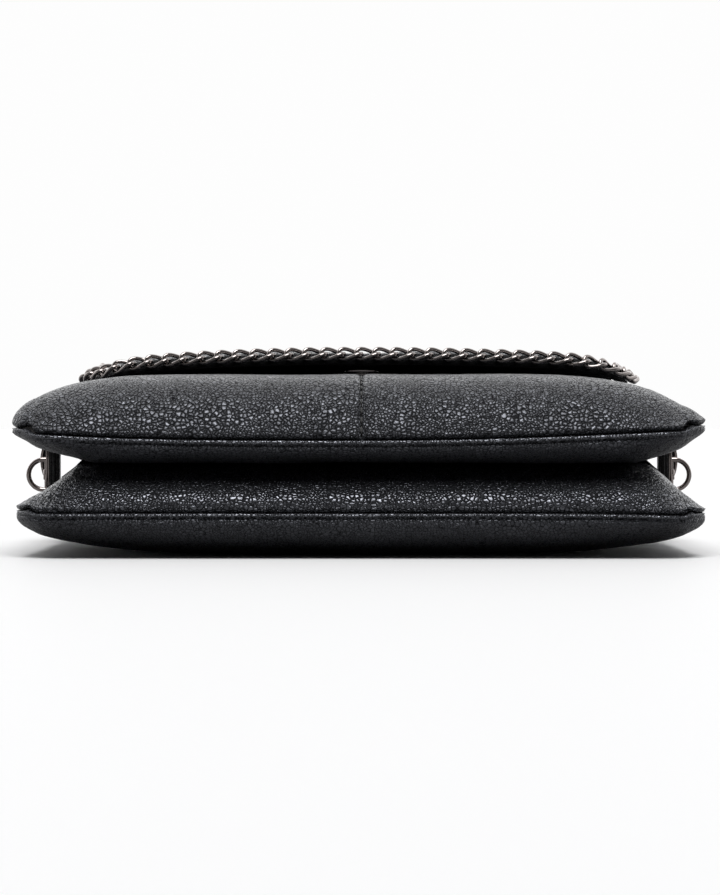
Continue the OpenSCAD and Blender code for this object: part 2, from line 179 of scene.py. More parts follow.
class Outline:
    """The outline of a sheet that has two rounded corners at its lower edge, along Y."""

    half: float
    low_y: float
    corner_r: float

    def corner(self, x: float, y: float) -> tuple[float, float]:
        """How far a place lies past the middle of its corner's arc, outwards and down."""
        return abs(x) - (self.half - self.corner_r), self.low_y + self.corner_r - y

    def half_w(self, y: float) -> float:
        """Half the width at a place along the sheet, drawn in by the corners.

        Args:
            y: Place along.

        Returns:
            The half width.
        """
        r = self.corner_r
        up = max(0.0, min(r, y - self.low_y))
        return self.half - r + math.sqrt(max(0.0, r * r - (r - up) ** 2))

    def border(self, x: float, y: float) -> float:
        """Distance in the sheet's plane to its lower edge, corners or sides.

        Args:
            x: Place across.
            y: Place along.

        Returns:
            The distance, none outside.
        """
        dx, dy = self.corner(x, y)
        if dx > 0 and dy > 0:
            return max(0.0, self.corner_r - math.hypot(dx, dy))
        return max(0.0, min(self.half - abs(x), y - self.low_y))

    def inward(self, x: float, y: float) -> Vector:
        """Direction in the sheet's plane from the outline towards its middle.

        Args:
            x: Place across.
            y: Place along.

        Returns:
            The direction, of length 1.
        """
        dx, dy = self.corner(x, y)
        if dx <= 0:
            return Vector((0, 1, 0))
        return Vector((-math.copysign(dx if dy > 0 else 1, x), max(0.0, dy), 0)).normalized()


@dataclass(frozen=True)
class BagShape(Outline):
    """The pouches' form, with the same sizes as the part's source."""

    body_w: float = 284.0
    pouch_h: float = 169.0
    corner_r: float = 22.0
    leather_t: float = 1.4
    clear: float = 0.3
    front_seam_z: float = 48.0
    front_crown: float = 27.4
    curl_left: tuple[float, float] = (4.0, 3.4)
    curl_right: tuple[float, float] = (5.0, 2.0)
    ear_lift: float = 1.8
    ear_x: float = 134.0
    rear_sink: float = 1.5
    rear_narrow: float = 1.7
    meet_z: float = 38.3
    rear_seam_z: float = 18.8
    belly_press: float = 0.6
    low_y: float = -87.25
    taper_from: float = 66.0
    middle_x: float = 1.1
    wave: float = 0.42
    fine_wave: float = 0.14
    wave_size: tuple[float, float] = (31.0, 24.0)
    fine_size: tuple[float, float] = (10.0, 8.0)
    wave_fade: float = 9.0

    @property
    def half(self) -> float:
        """Half the width over the side seams."""
        return self.body_w / 2

    @property
    def mouth_y(self) -> float:
        """Where the pouches end at their mouths."""
        return self.low_y + self.pouch_h

    def seam(self, form: Form, x: float) -> float:
        """Height of a pouch's bottom seam, which steps up to a small ear at each corner.

        Args:
            form: The panel.
            x: Place across.

        Returns:
            The height above the ground.
        """
        w = abs(x) / self.half
        ear = step(abs(x) - self.ear_x, 1.0)
        if form in (Form.REAR_IN, Form.REAR_OUT):
            sink = self.rear_sink * w**5 if x > 0 else 0.4 * w**5
            return self.rear_seam_z - sink + 0.55 * self.ear_lift * ear
        size, power = self.curl_left if x < 0 else self.curl_right
        return self.front_seam_z + size * w**power + self.ear_lift * (ear - 0.4 * w**6)

    def drawn(self, form: Form, x: float) -> float:
        """Place across of a point of a panel: the rear pouch is a little narrower at the left."""
        narrower = form in (Form.REAR_IN, Form.REAR_OUT) and x < 0
        return x * (1 - self.rear_narrow / self.half) if narrower else x

    def plateau(self, form: Form) -> float:
        """Height of a panel's fullest place.

        Args:
            form: The panel.

        Returns:
            The height above the ground.
        """
        return {
            Form.FRONT_OUT: self.front_seam_z + self.front_crown,
            Form.FRONT_IN: self.meet_z + self.clear / 2,
            Form.REAR_IN: self.meet_z - self.clear / 2,
            Form.REAR_OUT: -self.belly_press,
        }[form]

    def ripple(self, form: Form, x: float, y: float) -> float:
        """Slow unevenness of the filled leather, none at its outline.

        Args:
            form: The panel.
            x: Place across the bag.
            y: Place along the bag.

        Returns:
            A shift along Z, the same for the two panels that touch.
        """
        layer = {Form.FRONT_OUT: 1.5, Form.REAR_OUT: 7.5}.get(form, 4.5)
        slow, fine = drift(x, y, layer, self.wave_size), drift(x, y, layer + 3, self.fine_size)
        return min(1.0, self.border(x, y) / self.wave_fade) * (self.wave * slow + self.fine_wave * fine)

    def share(self, form: Form, x: float, y: float, inside: float = 0.0) -> float:
        """Share of the full bulge that a panel has at a place.

        Args:
            form: The panel.
            x: Place across.
            y: Place along.
            inside: Depth under the outer face.

        Returns:
            A share from 0 to 1.
        """
        s = form.value
        crown_y = self.low_y + self.taper_from
        down = max(0.0, (y - crown_y) / (self.mouth_y - crown_y)) ** 2
        return (
            (s.left if x < 0 else s.right).share(self.half_w(y) - abs(x) - inside)
            * s.along.share(y - self.low_y - inside)
            * (1 - (1 - s.mouth_share) * down)
        )

    def height(
        self, form: Form, x: float, y: float, rise: float | None = None, inside: float = 0.0
    ) -> float:
        """Height of a panel's outer face, or of a layer inside it.

        Args:
            form: The panel.
            x: Place across the bag.
            y: Place along the bag.
            rise: Height above the seam at which the face starts.
            inside: Depth under the outer face.

        Returns:
            The height above the ground.
        """
        side = form.value.side
        seam = self.seam(form, x)
        start = max(0.0, self.clear / 2 + self.leather_t - inside) if rise is None else rise
        z = seam + side * start
        z += (self.plateau(form) - seam - side * (start + inside)) * self.share(form, x, y, inside)
        z += self.ripple(form, x, y)
        return max(z, inside) if form is Form.REAR_OUT else z

    def flat(self, x: float, y: float) -> float:
        """Height of the front panel without its ripples."""
        return self.height(Form.FRONT_OUT, x, y) - self.ripple(Form.FRONT_OUT, x, y)


@dataclass(frozen=True)
class FlapShape(Outline):
    """The flap's form and its edge, along which the chain runs."""

    bag: BagShape = BagShape()
    flap_w: float = 239.0
    flap_l: float = 94.0
    corner_r: float = 27.0
    fold_z: float = 79.2
    sag: float = 0.8
    edge_rise: float = 2.2
    droop_left: float = 5.2
    droop_right: float = 3.4
    corner_drop: float = 6.0
    corner_power: float = 10.0
    fold_droop_share: float = 0.1
    lift: float = 1.0
    flap_t: float = 2.2
    mouth_gap: float = 3.3
    hem_inset: float = 12.0
    puff_left: float = 6.0
    puff_right: float = 6.3
    puff_from: float = 9.0
    puff_reach: float = 0.66
    wave: float = 0.35
    wave_size: tuple[float, float] = (26.0, 20.0)
    edge_dip: float = 1.3
    snap_y: float = 9.15
    snap_r: float = 8.2
    snap_dimple: float = 7.0
    snap_pull: float = 0.25

    @property
    def half(self) -> float:
        """Half the flap's width."""
        return self.flap_w / 2

    def puff(self, x: float, y: float, pull: float | None = None) -> float:
        """How much the filled flap arches over its plain line: down at its edge, up behind the chain.

        Args:
            x: Place across the flap.
            y: Place along the bag.
            pull: Share of the arch that the snap takes away over itself.

        Returns:
            The shift along Z, none at the fold and over the snap.
        """
        d = self.border(x, y)
        along = min(1.0, max(0.0, (self.fold_y - 4 - y) / (self.flap_l * self.puff_reach)))
        fade = along * along * (3 - 2 * along)
        high = self.puff_left + (self.puff_right - self.puff_left) * step(x, 18)
        away = max(0.0, math.hypot(x - self.bag.middle_x, y - self.snap_y) - self.snap_r)
        up = high * (1 - math.exp(-d / self.puff_from))
        up *= 1 - (self.snap_pull if pull is None else pull) * bell(away, self.snap_dimple)
        up += self.wave * drift(x, y, 11.5, self.wave_size) * min(1.0, d / 8)
        return (up - self.edge_dip * math.exp(-d / 4)) * fade

    @property
    def fold_y(self) -> float:
        """Middle of the flap's part over the bag's top."""
        return self.bag.mouth_y + self.mouth_gap + self.flap_t / 2

    @property
    def low_y(self) -> float:
        """The flap's free edge."""
        return self.fold_y - self.flap_l

    def underside(self, x: float, y: float) -> float:
        """Height of the flap's underside, lifted where it would sink into the pouch.

        Args:
            x: Place across.
            y: Place along.

        Returns:
            The height above the ground.
        """
        t = min(1.0, (self.fold_y - y) / self.flap_l)
        w = min(1.0, abs(x) / self.half)
        droop = (self.droop_left if x < 0 else self.droop_right) * w * w
        droop += self.corner_drop * w**self.corner_power
        free = self.fold_z - self.sag * math.sin(math.pi * t) + self.edge_rise * t**5
        free -= droop * (self.fold_droop_share + (1 - self.fold_droop_share) * t)
        if y > self.bag.mouth_y:
            return free
        return max(free, self.bag.flat(x, y) + self.lift)

    def face(self, x: float, y: float, pull: float | None = None) -> float:
        """Height of the arched flap's outer face."""
        return self.underside(x, y) + self.puff(x, y, pull) + self.flap_t


def finish_mesh(bm: bmesh.types.BMesh, name: str, facing: Vector | None = None) -> bpy.types.Object:
    """Turns a bmesh in millimetres into a smooth object in metres at the origin.

    Args:
        bm: The mesh, which is freed.
        name: The piece's name.
        facing: Direction that an open sheet's faces should look, on the whole.

    Returns:
        The linked object.
    """
    bmesh.ops.recalc_face_normals(bm, faces=bm.faces)
    if facing is not None and sum((f.normal * f.calc_area() for f in bm.faces), Vector()).dot(facing) < 0:
        bmesh.ops.reverse_faces(bm, faces=bm.faces)
    bmesh.ops.scale(bm, vec=(MM, MM, MM), verts=bm.verts)
    for face in bm.faces:
        face.smooth = True
    mesh = bpy.data.meshes.new(name)
    bm.to_mesh(mesh)
    bm.free()
    piece = bpy.data.objects.new(name, mesh)
    bpy.context.scene.collection.objects.link(piece)
    return piece


def grid_mesh(columns: int, rows: int, place: Callable[[float, float], Vector]) -> bmesh.types.BMesh:
    """A grid whose points are moved by a function of their two shares.

    Args:
        columns: Faces across.
        rows: Faces along.
        place: Gives the point for shares across and along, each from 0 to 1.

    Returns:
        The mesh.
    """
    bm = bmesh.new()
    bmesh.ops.create_grid(bm, x_segments=columns, y_segments=rows, size=0.5)
    for v in bm.verts:
        v.co = place(min(1.0, max(0.0, v.co.x + 0.5)), min(1.0, max(0.0, v.co.y + 0.5)))
    return bm


def thicken(piece: bpy.types.Object, thickness: float, offset: float = -1.0, round_to: float = 0.0) -> None:
    """Gives a sheet its thickness and, if asked, rounded edges.

    Args:
        piece: The sheet.
        thickness: Thickness in millimetres.
        offset: -1 grows it inwards, 1 outwards.
        round_to: Width of the rounded edge in millimetres.
    """
    solid = piece.modifiers.new("thickness", "SOLIDIFY")
    solid.thickness = thickness * MM
    solid.offset = offset
    solid.use_even_offset = True
    if round_to:
        bevel = piece.modifiers.new("rounded edge", "BEVEL")
        bevel.width = round_to * MM
        bevel.segments = 3
        bevel.limit_method = "ANGLE"
        bevel.angle_limit = math.radians(50)


def sheet(
    name: str, cells: tuple[int, int], place: Callable[[float, float], Vector], facing: Vector,
    thickness: float, offset: float = -1.0, round_share: float = 0.0,
) -> bpy.types.Object:
    """Makes a sheet with a thickness.

    Args:
        name: The piece's name.
        cells: Faces across and along.
        place: Gives the point of its face for shares across and along.
        facing: Direction that the face looks in, on the whole.
        thickness: Its thickness.
        offset: -1 grows it inwards, 1 outwards.
        round_share: Width of the rounded edge as a share of the thickness.

    Returns:
        The sheet.
    """
    piece = finish_mesh(grid_mesh(*cells, place), name, facing)
    thicken(piece, thickness, offset, thickness * round_share)
    return piece


def lathe(
    name: str, profile: Sequence[tuple[float, float]], at: tuple[float, float, float], steps: int
) -> bpy.types.Object:
    """Spins a profile of radii and heights round an upright axis.

    Args:
        name: The piece's name.
        profile: The points of the profile, which starts and ends on the axis or closes on itself.
        at: The axis's foot.
        steps: Faces round it.

    Returns:
        The turned piece.
    """
    bm = bmesh.new()
    verts = [bm.verts.new((r, 0, z)) for r, z in profile]
    edges = [bm.edges.new(pair) for pair in zip(verts, verts[1:])]
    if profile[0][0] > 0:
        edges.append(bm.edges.new((verts[-1], verts[0])))
    bmesh.ops.spin(
        bm, geom=verts + edges, cent=(0, 0, 0), axis=(0, 0, 1),
        angle=2 * math.pi, steps=steps, use_merge=True,
    )
    bmesh.ops.remove_doubles(bm, verts=bm.verts, dist=0.001)
    bmesh.ops.translate(bm, vec=at, verts=bm.verts)
    piece = finish_mesh(bm, name)
    piece.modifiers.new("crisp edges", "EDGE_SPLIT").split_angle = math.radians(50)
    return piece


class Shader:
    """A node tree with short calls to add and join nodes."""

    def __init__(self, tree: bpy.types.NodeTree) -> None:
        """Wraps a tree."""
        self.tree = tree

    def add(
        self, kind: str, inputs: dict[str | int, object] | None = None, **settings: object
    ) -> bpy.types.Node:
        """Adds a node.

        Args:
            kind: The node's type.
            inputs: A value or an output socket for each named input.
            settings: The node's own settings.

        Returns:
            The node.
        """
        node = self.tree.nodes.new(kind)
        for key, value in settings.items():
            setattr(node, key, value)
        self.put(node, inputs or {})
        return node

    def put(self, node: bpy.types.Node, values: dict[str | int, object]) -> None:
        """Gives each named input of a node its value, or joins it to an output socket.

        Args:
            node: The node.
            values: A value or an output socket for each input.
        """
        for key, value in values.items():
            if isinstance(value, bpy.types.NodeSocket):
                self.tree.links.new(value, node.inputs[key])
            else:
                node.inputs[key].default_value = value

    def math(self, operation: str, a: object, b: object = 0.0, clamp: bool = False) -> bpy.types.NodeSocket:
        """A number worked out from two others."""
        node = self.add("ShaderNodeMath", {0: a, 1: b}, operation=operation, use_clamp=clamp)
        return node.outputs[0]

    def ramp(
        self, value: object, low: float, high: float, to_low: object, to_high: object
    ) -> bpy.types.NodeSocket:
        """A number moved smoothly from one range to another.

        Args:
            value: The number.
            low: Where it starts.
            high: Where it ends.
            to_low: The result up to the start.
            to_high: The result from the end on.

        Returns:
            The result.
        """
        node = self.add(
            "ShaderNodeMapRange",
            {"Value": value, "From Min": low, "From Max": high, "To Min": to_low, "To Max": to_high},
            interpolation_type="SMOOTHSTEP",
        )
        return node.outputs["Result"]

    def mix(self, share: object, a: object, b: object) -> bpy.types.NodeSocket:
        """A number between two others."""
        return self.add("ShaderNodeMix", {0: share, 2: a, 3: b}, data_type="FLOAT").outputs[0]

    def noise(self, place: object, scale: object, detail: float) -> bpy.types.Node:
        """A noise texture."""
        return self.add("ShaderNodeTexNoise", {"Vector": place, "Scale": scale, "Detail": detail})

    def vector(self, operation: str, inputs: dict[str | int, object]) -> bpy.types.NodeSocket:
        """A vector worked out from others."""
        return self.add("ShaderNodeVectorMath", inputs, operation=operation).outputs[0]

    def bump(self, surface: bpy.types.Node, height: object, strength: float, depth: float) -> None:
        """Gives a surface node its small relief, with a depth in metres."""
        relief = {"Height": height, "Strength": strength, "Distance": depth}
        self.put(surface, {"Normal": self.add("ShaderNodeBump", relief).outputs["Normal"]})

    def blend(self, share: object, a: object, b: object) -> bpy.types.NodeSocket:
        """A colour between two others."""
        node = self.add("ShaderNodeMix", {0: share, 6: a, 7: b}, data_type="RGBA")
        return node.outputs[2]


class Effect(Enum):
    """The shared effects, by the names of their groups."""

    PEBBLES = "pebble_grain"
    WEAVE = "plain_weave"
    POLISH = "worn_polish"


class Groups:
    """Builds the shared effects, each when it is first used."""

    @classmethod
    def get(cls, effect: Effect) -> bpy.types.NodeTree:
        """The node tree of an effect."""
        makers = {Effect.PEBBLES: cls.pebbles, Effect.WEAVE: cls.weave, Effect.POLISH: cls.polish}
        return bpy.data.node_groups.get(effect.value) or makers[effect]()

    @staticmethod
    def new(
        effect: Effect, inputs: dict[str, float], outputs: Iterable[str]
    ) -> tuple[Shader, bpy.types.Node, bpy.types.Node]:
        """Starts a group that reads a place and some numbers.

        Args:
            effect: The effect.
            inputs: The numbers with their usual values.
            outputs: The names of the numbers it puts out.

        Returns:
            The shader, the group's input node and its output node.
        """
        tree = bpy.data.node_groups.new(effect.value, "ShaderNodeTree")
        tree.interface.new_socket("Place", in_out="INPUT", socket_type="NodeSocketVector")
        for key, value in inputs.items():
            socket = tree.interface.new_socket(key, in_out="INPUT", socket_type="NodeSocketFloat")
            socket.default_value = value
        for key in outputs:
            tree.interface.new_socket(key, in_out="OUTPUT", socket_type="NodeSocketFloat")
        shader = Shader(tree)
        return shader, shader.add("NodeGroupInput"), shader.add("NodeGroupOutput")

    @classmethod
    def pebbles(cls) -> bpy.types.NodeTree:
        """Pebble grain: domed cells of two sizes in patches, with creases between them.

        Returns:
            The group, which puts out Height, Crease, Tone and Glint.
        """
        fine_cells, pore_share, crease_depth = 1.4, 0.04, 0.35
        s, gin, gout = cls.new(
            Effect.PEBBLES,
            {"Cell": 560.0, "Crease": 0.11, "Warp": 0.0011},
            ("Height", "Crease", "Tone", "Glint"),
        )
        place, cell = gin.outputs["Place"], gin.outputs["Cell"]
        bend = s.noise(place, 420.0, 2.0)
        centred = s.vector("SUBTRACT", {0: bend.outputs["Color"], 1: (0.5, 0.5, 0.5)})
        moved = s.vector("SCALE", {0: centred, "Scale": gin.outputs["Warp"]})
        warped = s.vector("ADD", {0: place, 1: moved})
        tight = s.ramp(s.noise(place, 62.0, 1.0).outputs["Fac"], 0.49, 0.51, 0.0, 1.0)
        edges, cells = [], []
        for factor in (1.0, fine_cells):
            settings = {"Vector": warped, "Scale": s.math("MULTIPLY", cell, factor), "Randomness": 0.92}
            border = s.add("ShaderNodeTexVoronoi", settings, feature="DISTANCE_TO_EDGE")
            edges.append(border.outputs["Distance"])
            whole = s.add("ShaderNodeTexVoronoi", settings, feature="F1")
            cells.append(s.add("ShaderNodeSeparateXYZ", {0: whole.outputs["Color"]}).outputs["X"])
        mixed, glint = s.mix(tight, *edges), s.mix(tight, *cells)
        ratio = s.math("DIVIDE", mixed, gin.outputs["Crease"], clamp=True)
        crease = s.math("SUBTRACT", 1.0, ratio, clamp=True)
        dome = s.math("ADD", s.ramp(mixed, 0.0, 0.24, 0.0, 0.6), s.math("MULTIPLY", mixed, 0.9))
        pores = s.math("MULTIPLY", s.noise(place, 2600.0, 2.0).outputs["Fac"], pore_share)
        lowered = s.math("SUBTRACT", dome, s.math("MULTIPLY", crease, crease_depth))
        tone = s.noise(place, 18.0, 3.0).outputs["Fac"]
        s.put(gout, {"Height": s.math("ADD", lowered, pores), "Crease": crease, "Tone": tone, "Glint": glint})
        return s.tree

    @classmethod
    def weave(cls) -> bpy.types.NodeTree:
        """Plain weave: crossing threads that rise and dip in turn.

        Returns:
            The group, which puts out Height and Tone.
        """
        s, gin, gout = cls.new(Effect.WEAVE, {"Thread": 2200.0}, ("Height", "Tone"))
        place = s.vector("SCALE", {0: gin.outputs["Place"], "Scale": gin.outputs["Thread"]})
        parts = s.add("ShaderNodeSeparateXYZ", {0: place})
        along = s.math("ADD", parts.outputs["Y"], parts.outputs["Z"])
        cross = s.math("MULTIPLY", *(s.math("SINE", value) for value in (parts.outputs["X"], along)))
        tone = s.noise(gin.outputs["Place"], 90.0, 3.0).outputs["Fac"]
        s.put(gout, {"Height": s.ramp(cross, -1.0, 1.0, 0.0, 1.0), "Tone": tone})
        return s.tree

    @classmethod
    def polish(cls) -> bpy.types.NodeTree:
        """Polished plating: faint smears and hairlines.

        Returns:
            The group, which puts out Height and Smear.
        """
        s, gin, gout = cls.new(Effect.POLISH, {"Smear": 260.0}, ("Height", "Smear"))
        place = gin.outputs["Place"]
        hairs, smears = s.noise(place, 3400.0, 1.0), s.noise(place, gin.outputs["Smear"], 3.0)
        s.put(gout, {"Height": hairs.outputs["Fac"], "Smear": smears.outputs["Fac"]})
        return s.tree


@dataclass(frozen=True)
class Colour:
    """A linear colour."""

    r: float
    g: float
    b: float

    def times(self, k: float) -> tuple[float, float, float, float]:
        """The colour made lighter or darker, with full opacity."""
        return (self.r * k, self.g * k, self.b * k, 1.0)


@dataclass(frozen=True)
class Finish:
    """A finish: its material's name, colour, the record's slot, roughness and the tint of its sheen."""

    name: str
    colour: Colour
    slot: str
    roughness: float
    tint: Colour = Colour(1.0, 1.0, 1.0)

    @property
    def material(self) -> bpy.types.Material:
        """The material, built when it is first used."""
        return bpy.data.materials.get(self.name) or self.build()

    def build(self) -> bpy.types.Material:
        """Makes the material."""
        raise NotImplementedError

    def start(self, effect: Effect) -> tuple[bpy.types.Material, Shader, bpy.types.Node, bpy.types.Node]:
        """Starts the material on a shared effect.

        Args:
            effect: The effect.

        Returns:
            The material, its shader, its surface node and the effect's node.
        """
        material = bpy.data.materials.new(self.name)
        material.use_nodes = True
        s = Shader(material.node_tree)
        surface = material.node_tree.nodes["Principled BSDF"]
        s.put(surface, {"Roughness": self.roughness, "Specular Tint": self.tint.times(1.0)})
        node = s.add("ShaderNodeGroup", node_tree=Groups.get(effect))
        s.put(node, {"Place": s.add("ShaderNodeTexCoord").outputs["Object"]})
        return material, s, surface, node


@dataclass(frozen=True)
class Leather(Finish):
    """Faux leather with a pebble grain."""

    cell: float = 560.0
    crease: float = 0.13
    depth: float = 0.00032
    shine: float = 0.5
    glint: float = 0.3

    def build(self) -> bpy.types.Material:
        """Makes the material.

        Returns:
            The material.
        """
        # The creases are painted darker and their shine is cut: painted shade, standing in for the shade that
        # falls in them.
        crease_shade_shine, dark, glint_up, rougher = 0.12, 0.15, 1.6, 0.3
        material, s, surface, grain = self.start(Effect.PEBBLES)
        s.put(grain, {"Cell": self.cell, "Crease": self.crease})
        crease = grain.outputs["Crease"]
        tone = s.blend(grain.outputs["Tone"], self.colour.times(0.8), self.colour.times(1.2))
        shine = s.ramp(crease, 0.0, 0.9, self.shine, self.shine * crease_shade_shine)
        glint = s.ramp(grain.outputs["Glint"], 0.2, 1.0, 1.0 - self.glint, 1.0 + glint_up * self.glint)
        s.put(surface, {
            # Darker in the creases: painted shade.
            "Base Color": s.blend(crease, tone, self.colour.times(dark)),
            "Roughness": s.ramp(crease, 0.0, 1.0, self.roughness, min(1.0, self.roughness + rougher)),
            "Specular IOR Level": s.math("MULTIPLY", shine, glint),
        })
        s.bump(surface, grain.outputs["Height"], 1.0, self.depth)
        return material


@dataclass(frozen=True)
class Cloth(Finish):
    """Woven cloth."""

    thread: float = 2200.0

    def build(self) -> bpy.types.Material:
        """Makes the material.

        Returns:
            The material.
        """
        material, s, surface, weave = self.start(Effect.WEAVE)
        s.put(weave, {"Thread": self.thread})
        tone = s.blend(weave.outputs["Tone"], self.colour.times(0.75), self.colour.times(1.25))
        # Darker where the weave dips: painted shade between the threads.
        colour = s.blend(weave.outputs["Height"], self.colour.times(0.6), tone)
        s.put(surface, {"Base Color": colour, "Sheen Weight": 0.25})
        s.bump(surface, weave.outputs["Height"], 0.7, 0.00012)
        return material


@dataclass(frozen=True)
class Metal(Finish):
    """Plated metal."""

    spread: float = 0.12

    def build(self) -> bpy.types.Material:
        """Makes the material.

        Returns:
            The material.
        """
        material, s, surface, wear = self.start(Effect.POLISH)
        smear = wear.outputs["Smear"]
        s.put(surface, {
            "Base Color": s.blend(smear, self.colour.times(0.86), self.colour.times(1.12)),
            "Roughness": s.ramp(smear, 0.3, 0.7, self.roughness, self.roughness + self.spread),
            "Metallic": 1.0,
        })
        s.bump(surface, wear.outputs["Height"], 0.25, 0.00002)
        return material


BLACK = Colour(0.0125, 0.0128, 0.0146)
COOL = Colour(0.87, 0.9, 1.0)


class Look(Enum):
    """The bag's finishes."""

    OUTER = Leather("pebble_leather", BLACK, "leather_outer", 0.28, COOL, shine=0.72)
    UNDER = Leather("under_leather", BLACK, "leather_outer", 0.34, COOL, 620.0, 0.1, 0.00024, 0.82, 0.15)
    # A shinier copy of the pouch leather for the rear pouch's front panel: painted highlight, for the
    # brighter light it catches.
    INNER_HIGHLIGHT = Leather("inner_highlight_leather", BLACK, "leather_outer", 0.25, COOL, shine=1.15)
    # A smoother, shinier copy for the rolled edges under the seams: the smoother grain is the roll's own, the
    # extra shine a painted highlight.
    WELT_HIGHLIGHT = Leather("welt_highlight_leather", BLACK, "leather_outer", 0.2, COOL, 620.0, 0.1, 0.00014, 1.35)
    # Near-black, dull leather under the chain and in the keepers' loops: painted shade.
    SHADE_LEATHER = Leather(
        "shade_leather", Colour(0.004, 0.004, 0.0044), "leather_outer", 0.6,
        cell=1500.0, depth=0.00005, shine=0.06,
    )
    # Smooth tab leather, darker than the pouch leather: partly its own colour, partly painted shade where the
    # tabs and gussets sit between the pouches.
    TAB = Leather(
        "tab_leather", Colour(0.007, 0.007, 0.0075), "leather_tab", 0.38,
        cell=1500.0, depth=0.00004, shine=0.35,
    )
    # A light grey layer whose cut edge, seen between the tab's layers, gives the thin light lines there:
    # painted highlight.
    EDGE_HIGHLIGHT = Leather("painted_edge_highlight", Colour(0.1, 0.1, 0.104), "leather_tab", 0.35, cell=2200.0, depth=0.00003)
    BACKING = Leather(
        "flap_backing", Colour(0.012, 0.012, 0.013), "lining", 0.6,
        cell=1300.0, depth=0.00005, shine=0.3,
    )
    LINING = Cloth("lining_cloth", Colour(0.075, 0.068, 0.065), "lining", 0.8)
    THREAD = Cloth("sewing_thread", Colour(0.006, 0.006, 0.0065), "leather_tab", 0.5, thread=9000.0)
    CHAIN = Metal("gunmetal_plating", Colour(0.3, 0.272, 0.262), "gunmetal", 0.05, spread=0.04)
    RING = Metal("ring_plating", Colour(0.28, 0.245, 0.235), "gunmetal", 0.07, spread=0.06)
    SNAP = Metal("snap_plating", Colour(0.5, 0.46, 0.45), "gunmetal", 0.08, spread=0.06)
    MAGNET = Metal("magnet_grey", Colour(0.14, 0.14, 0.15), "magnet", 0.45)


def paint(piece: bpy.types.Object, look: Look) -> Finish:
    """Gives a piece the material of a finish and no other, and returns the finish.

    Args:
        piece: The piece.
        look: The name of its finish.

    Returns:
        The finish.
    """
    piece.data.materials.clear()
    piece.data.materials.append(look.value.material)
    return look.value


def dress(piece: bpy.types.Object, look: Look, body: str | None, *nodes: str) -> bpy.types.Object:
    """Gives a piece its finish and body and hides the nodes it stands for.

    Args:
        piece: The piece.
        look: The name of its finish.
        body: The body it rides on, or None, which leaves it on no body.
        nodes: The nodes that it replaces.

    Returns:
        The piece.
    """
    finish = paint(piece, look)
    if nodes:
        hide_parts(*nodes)
    if body:
        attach(piece, body)
    LOG.info("%s: %d faces, %s", piece.name, len(piece.data.polygons), body or "bends")
    return piece


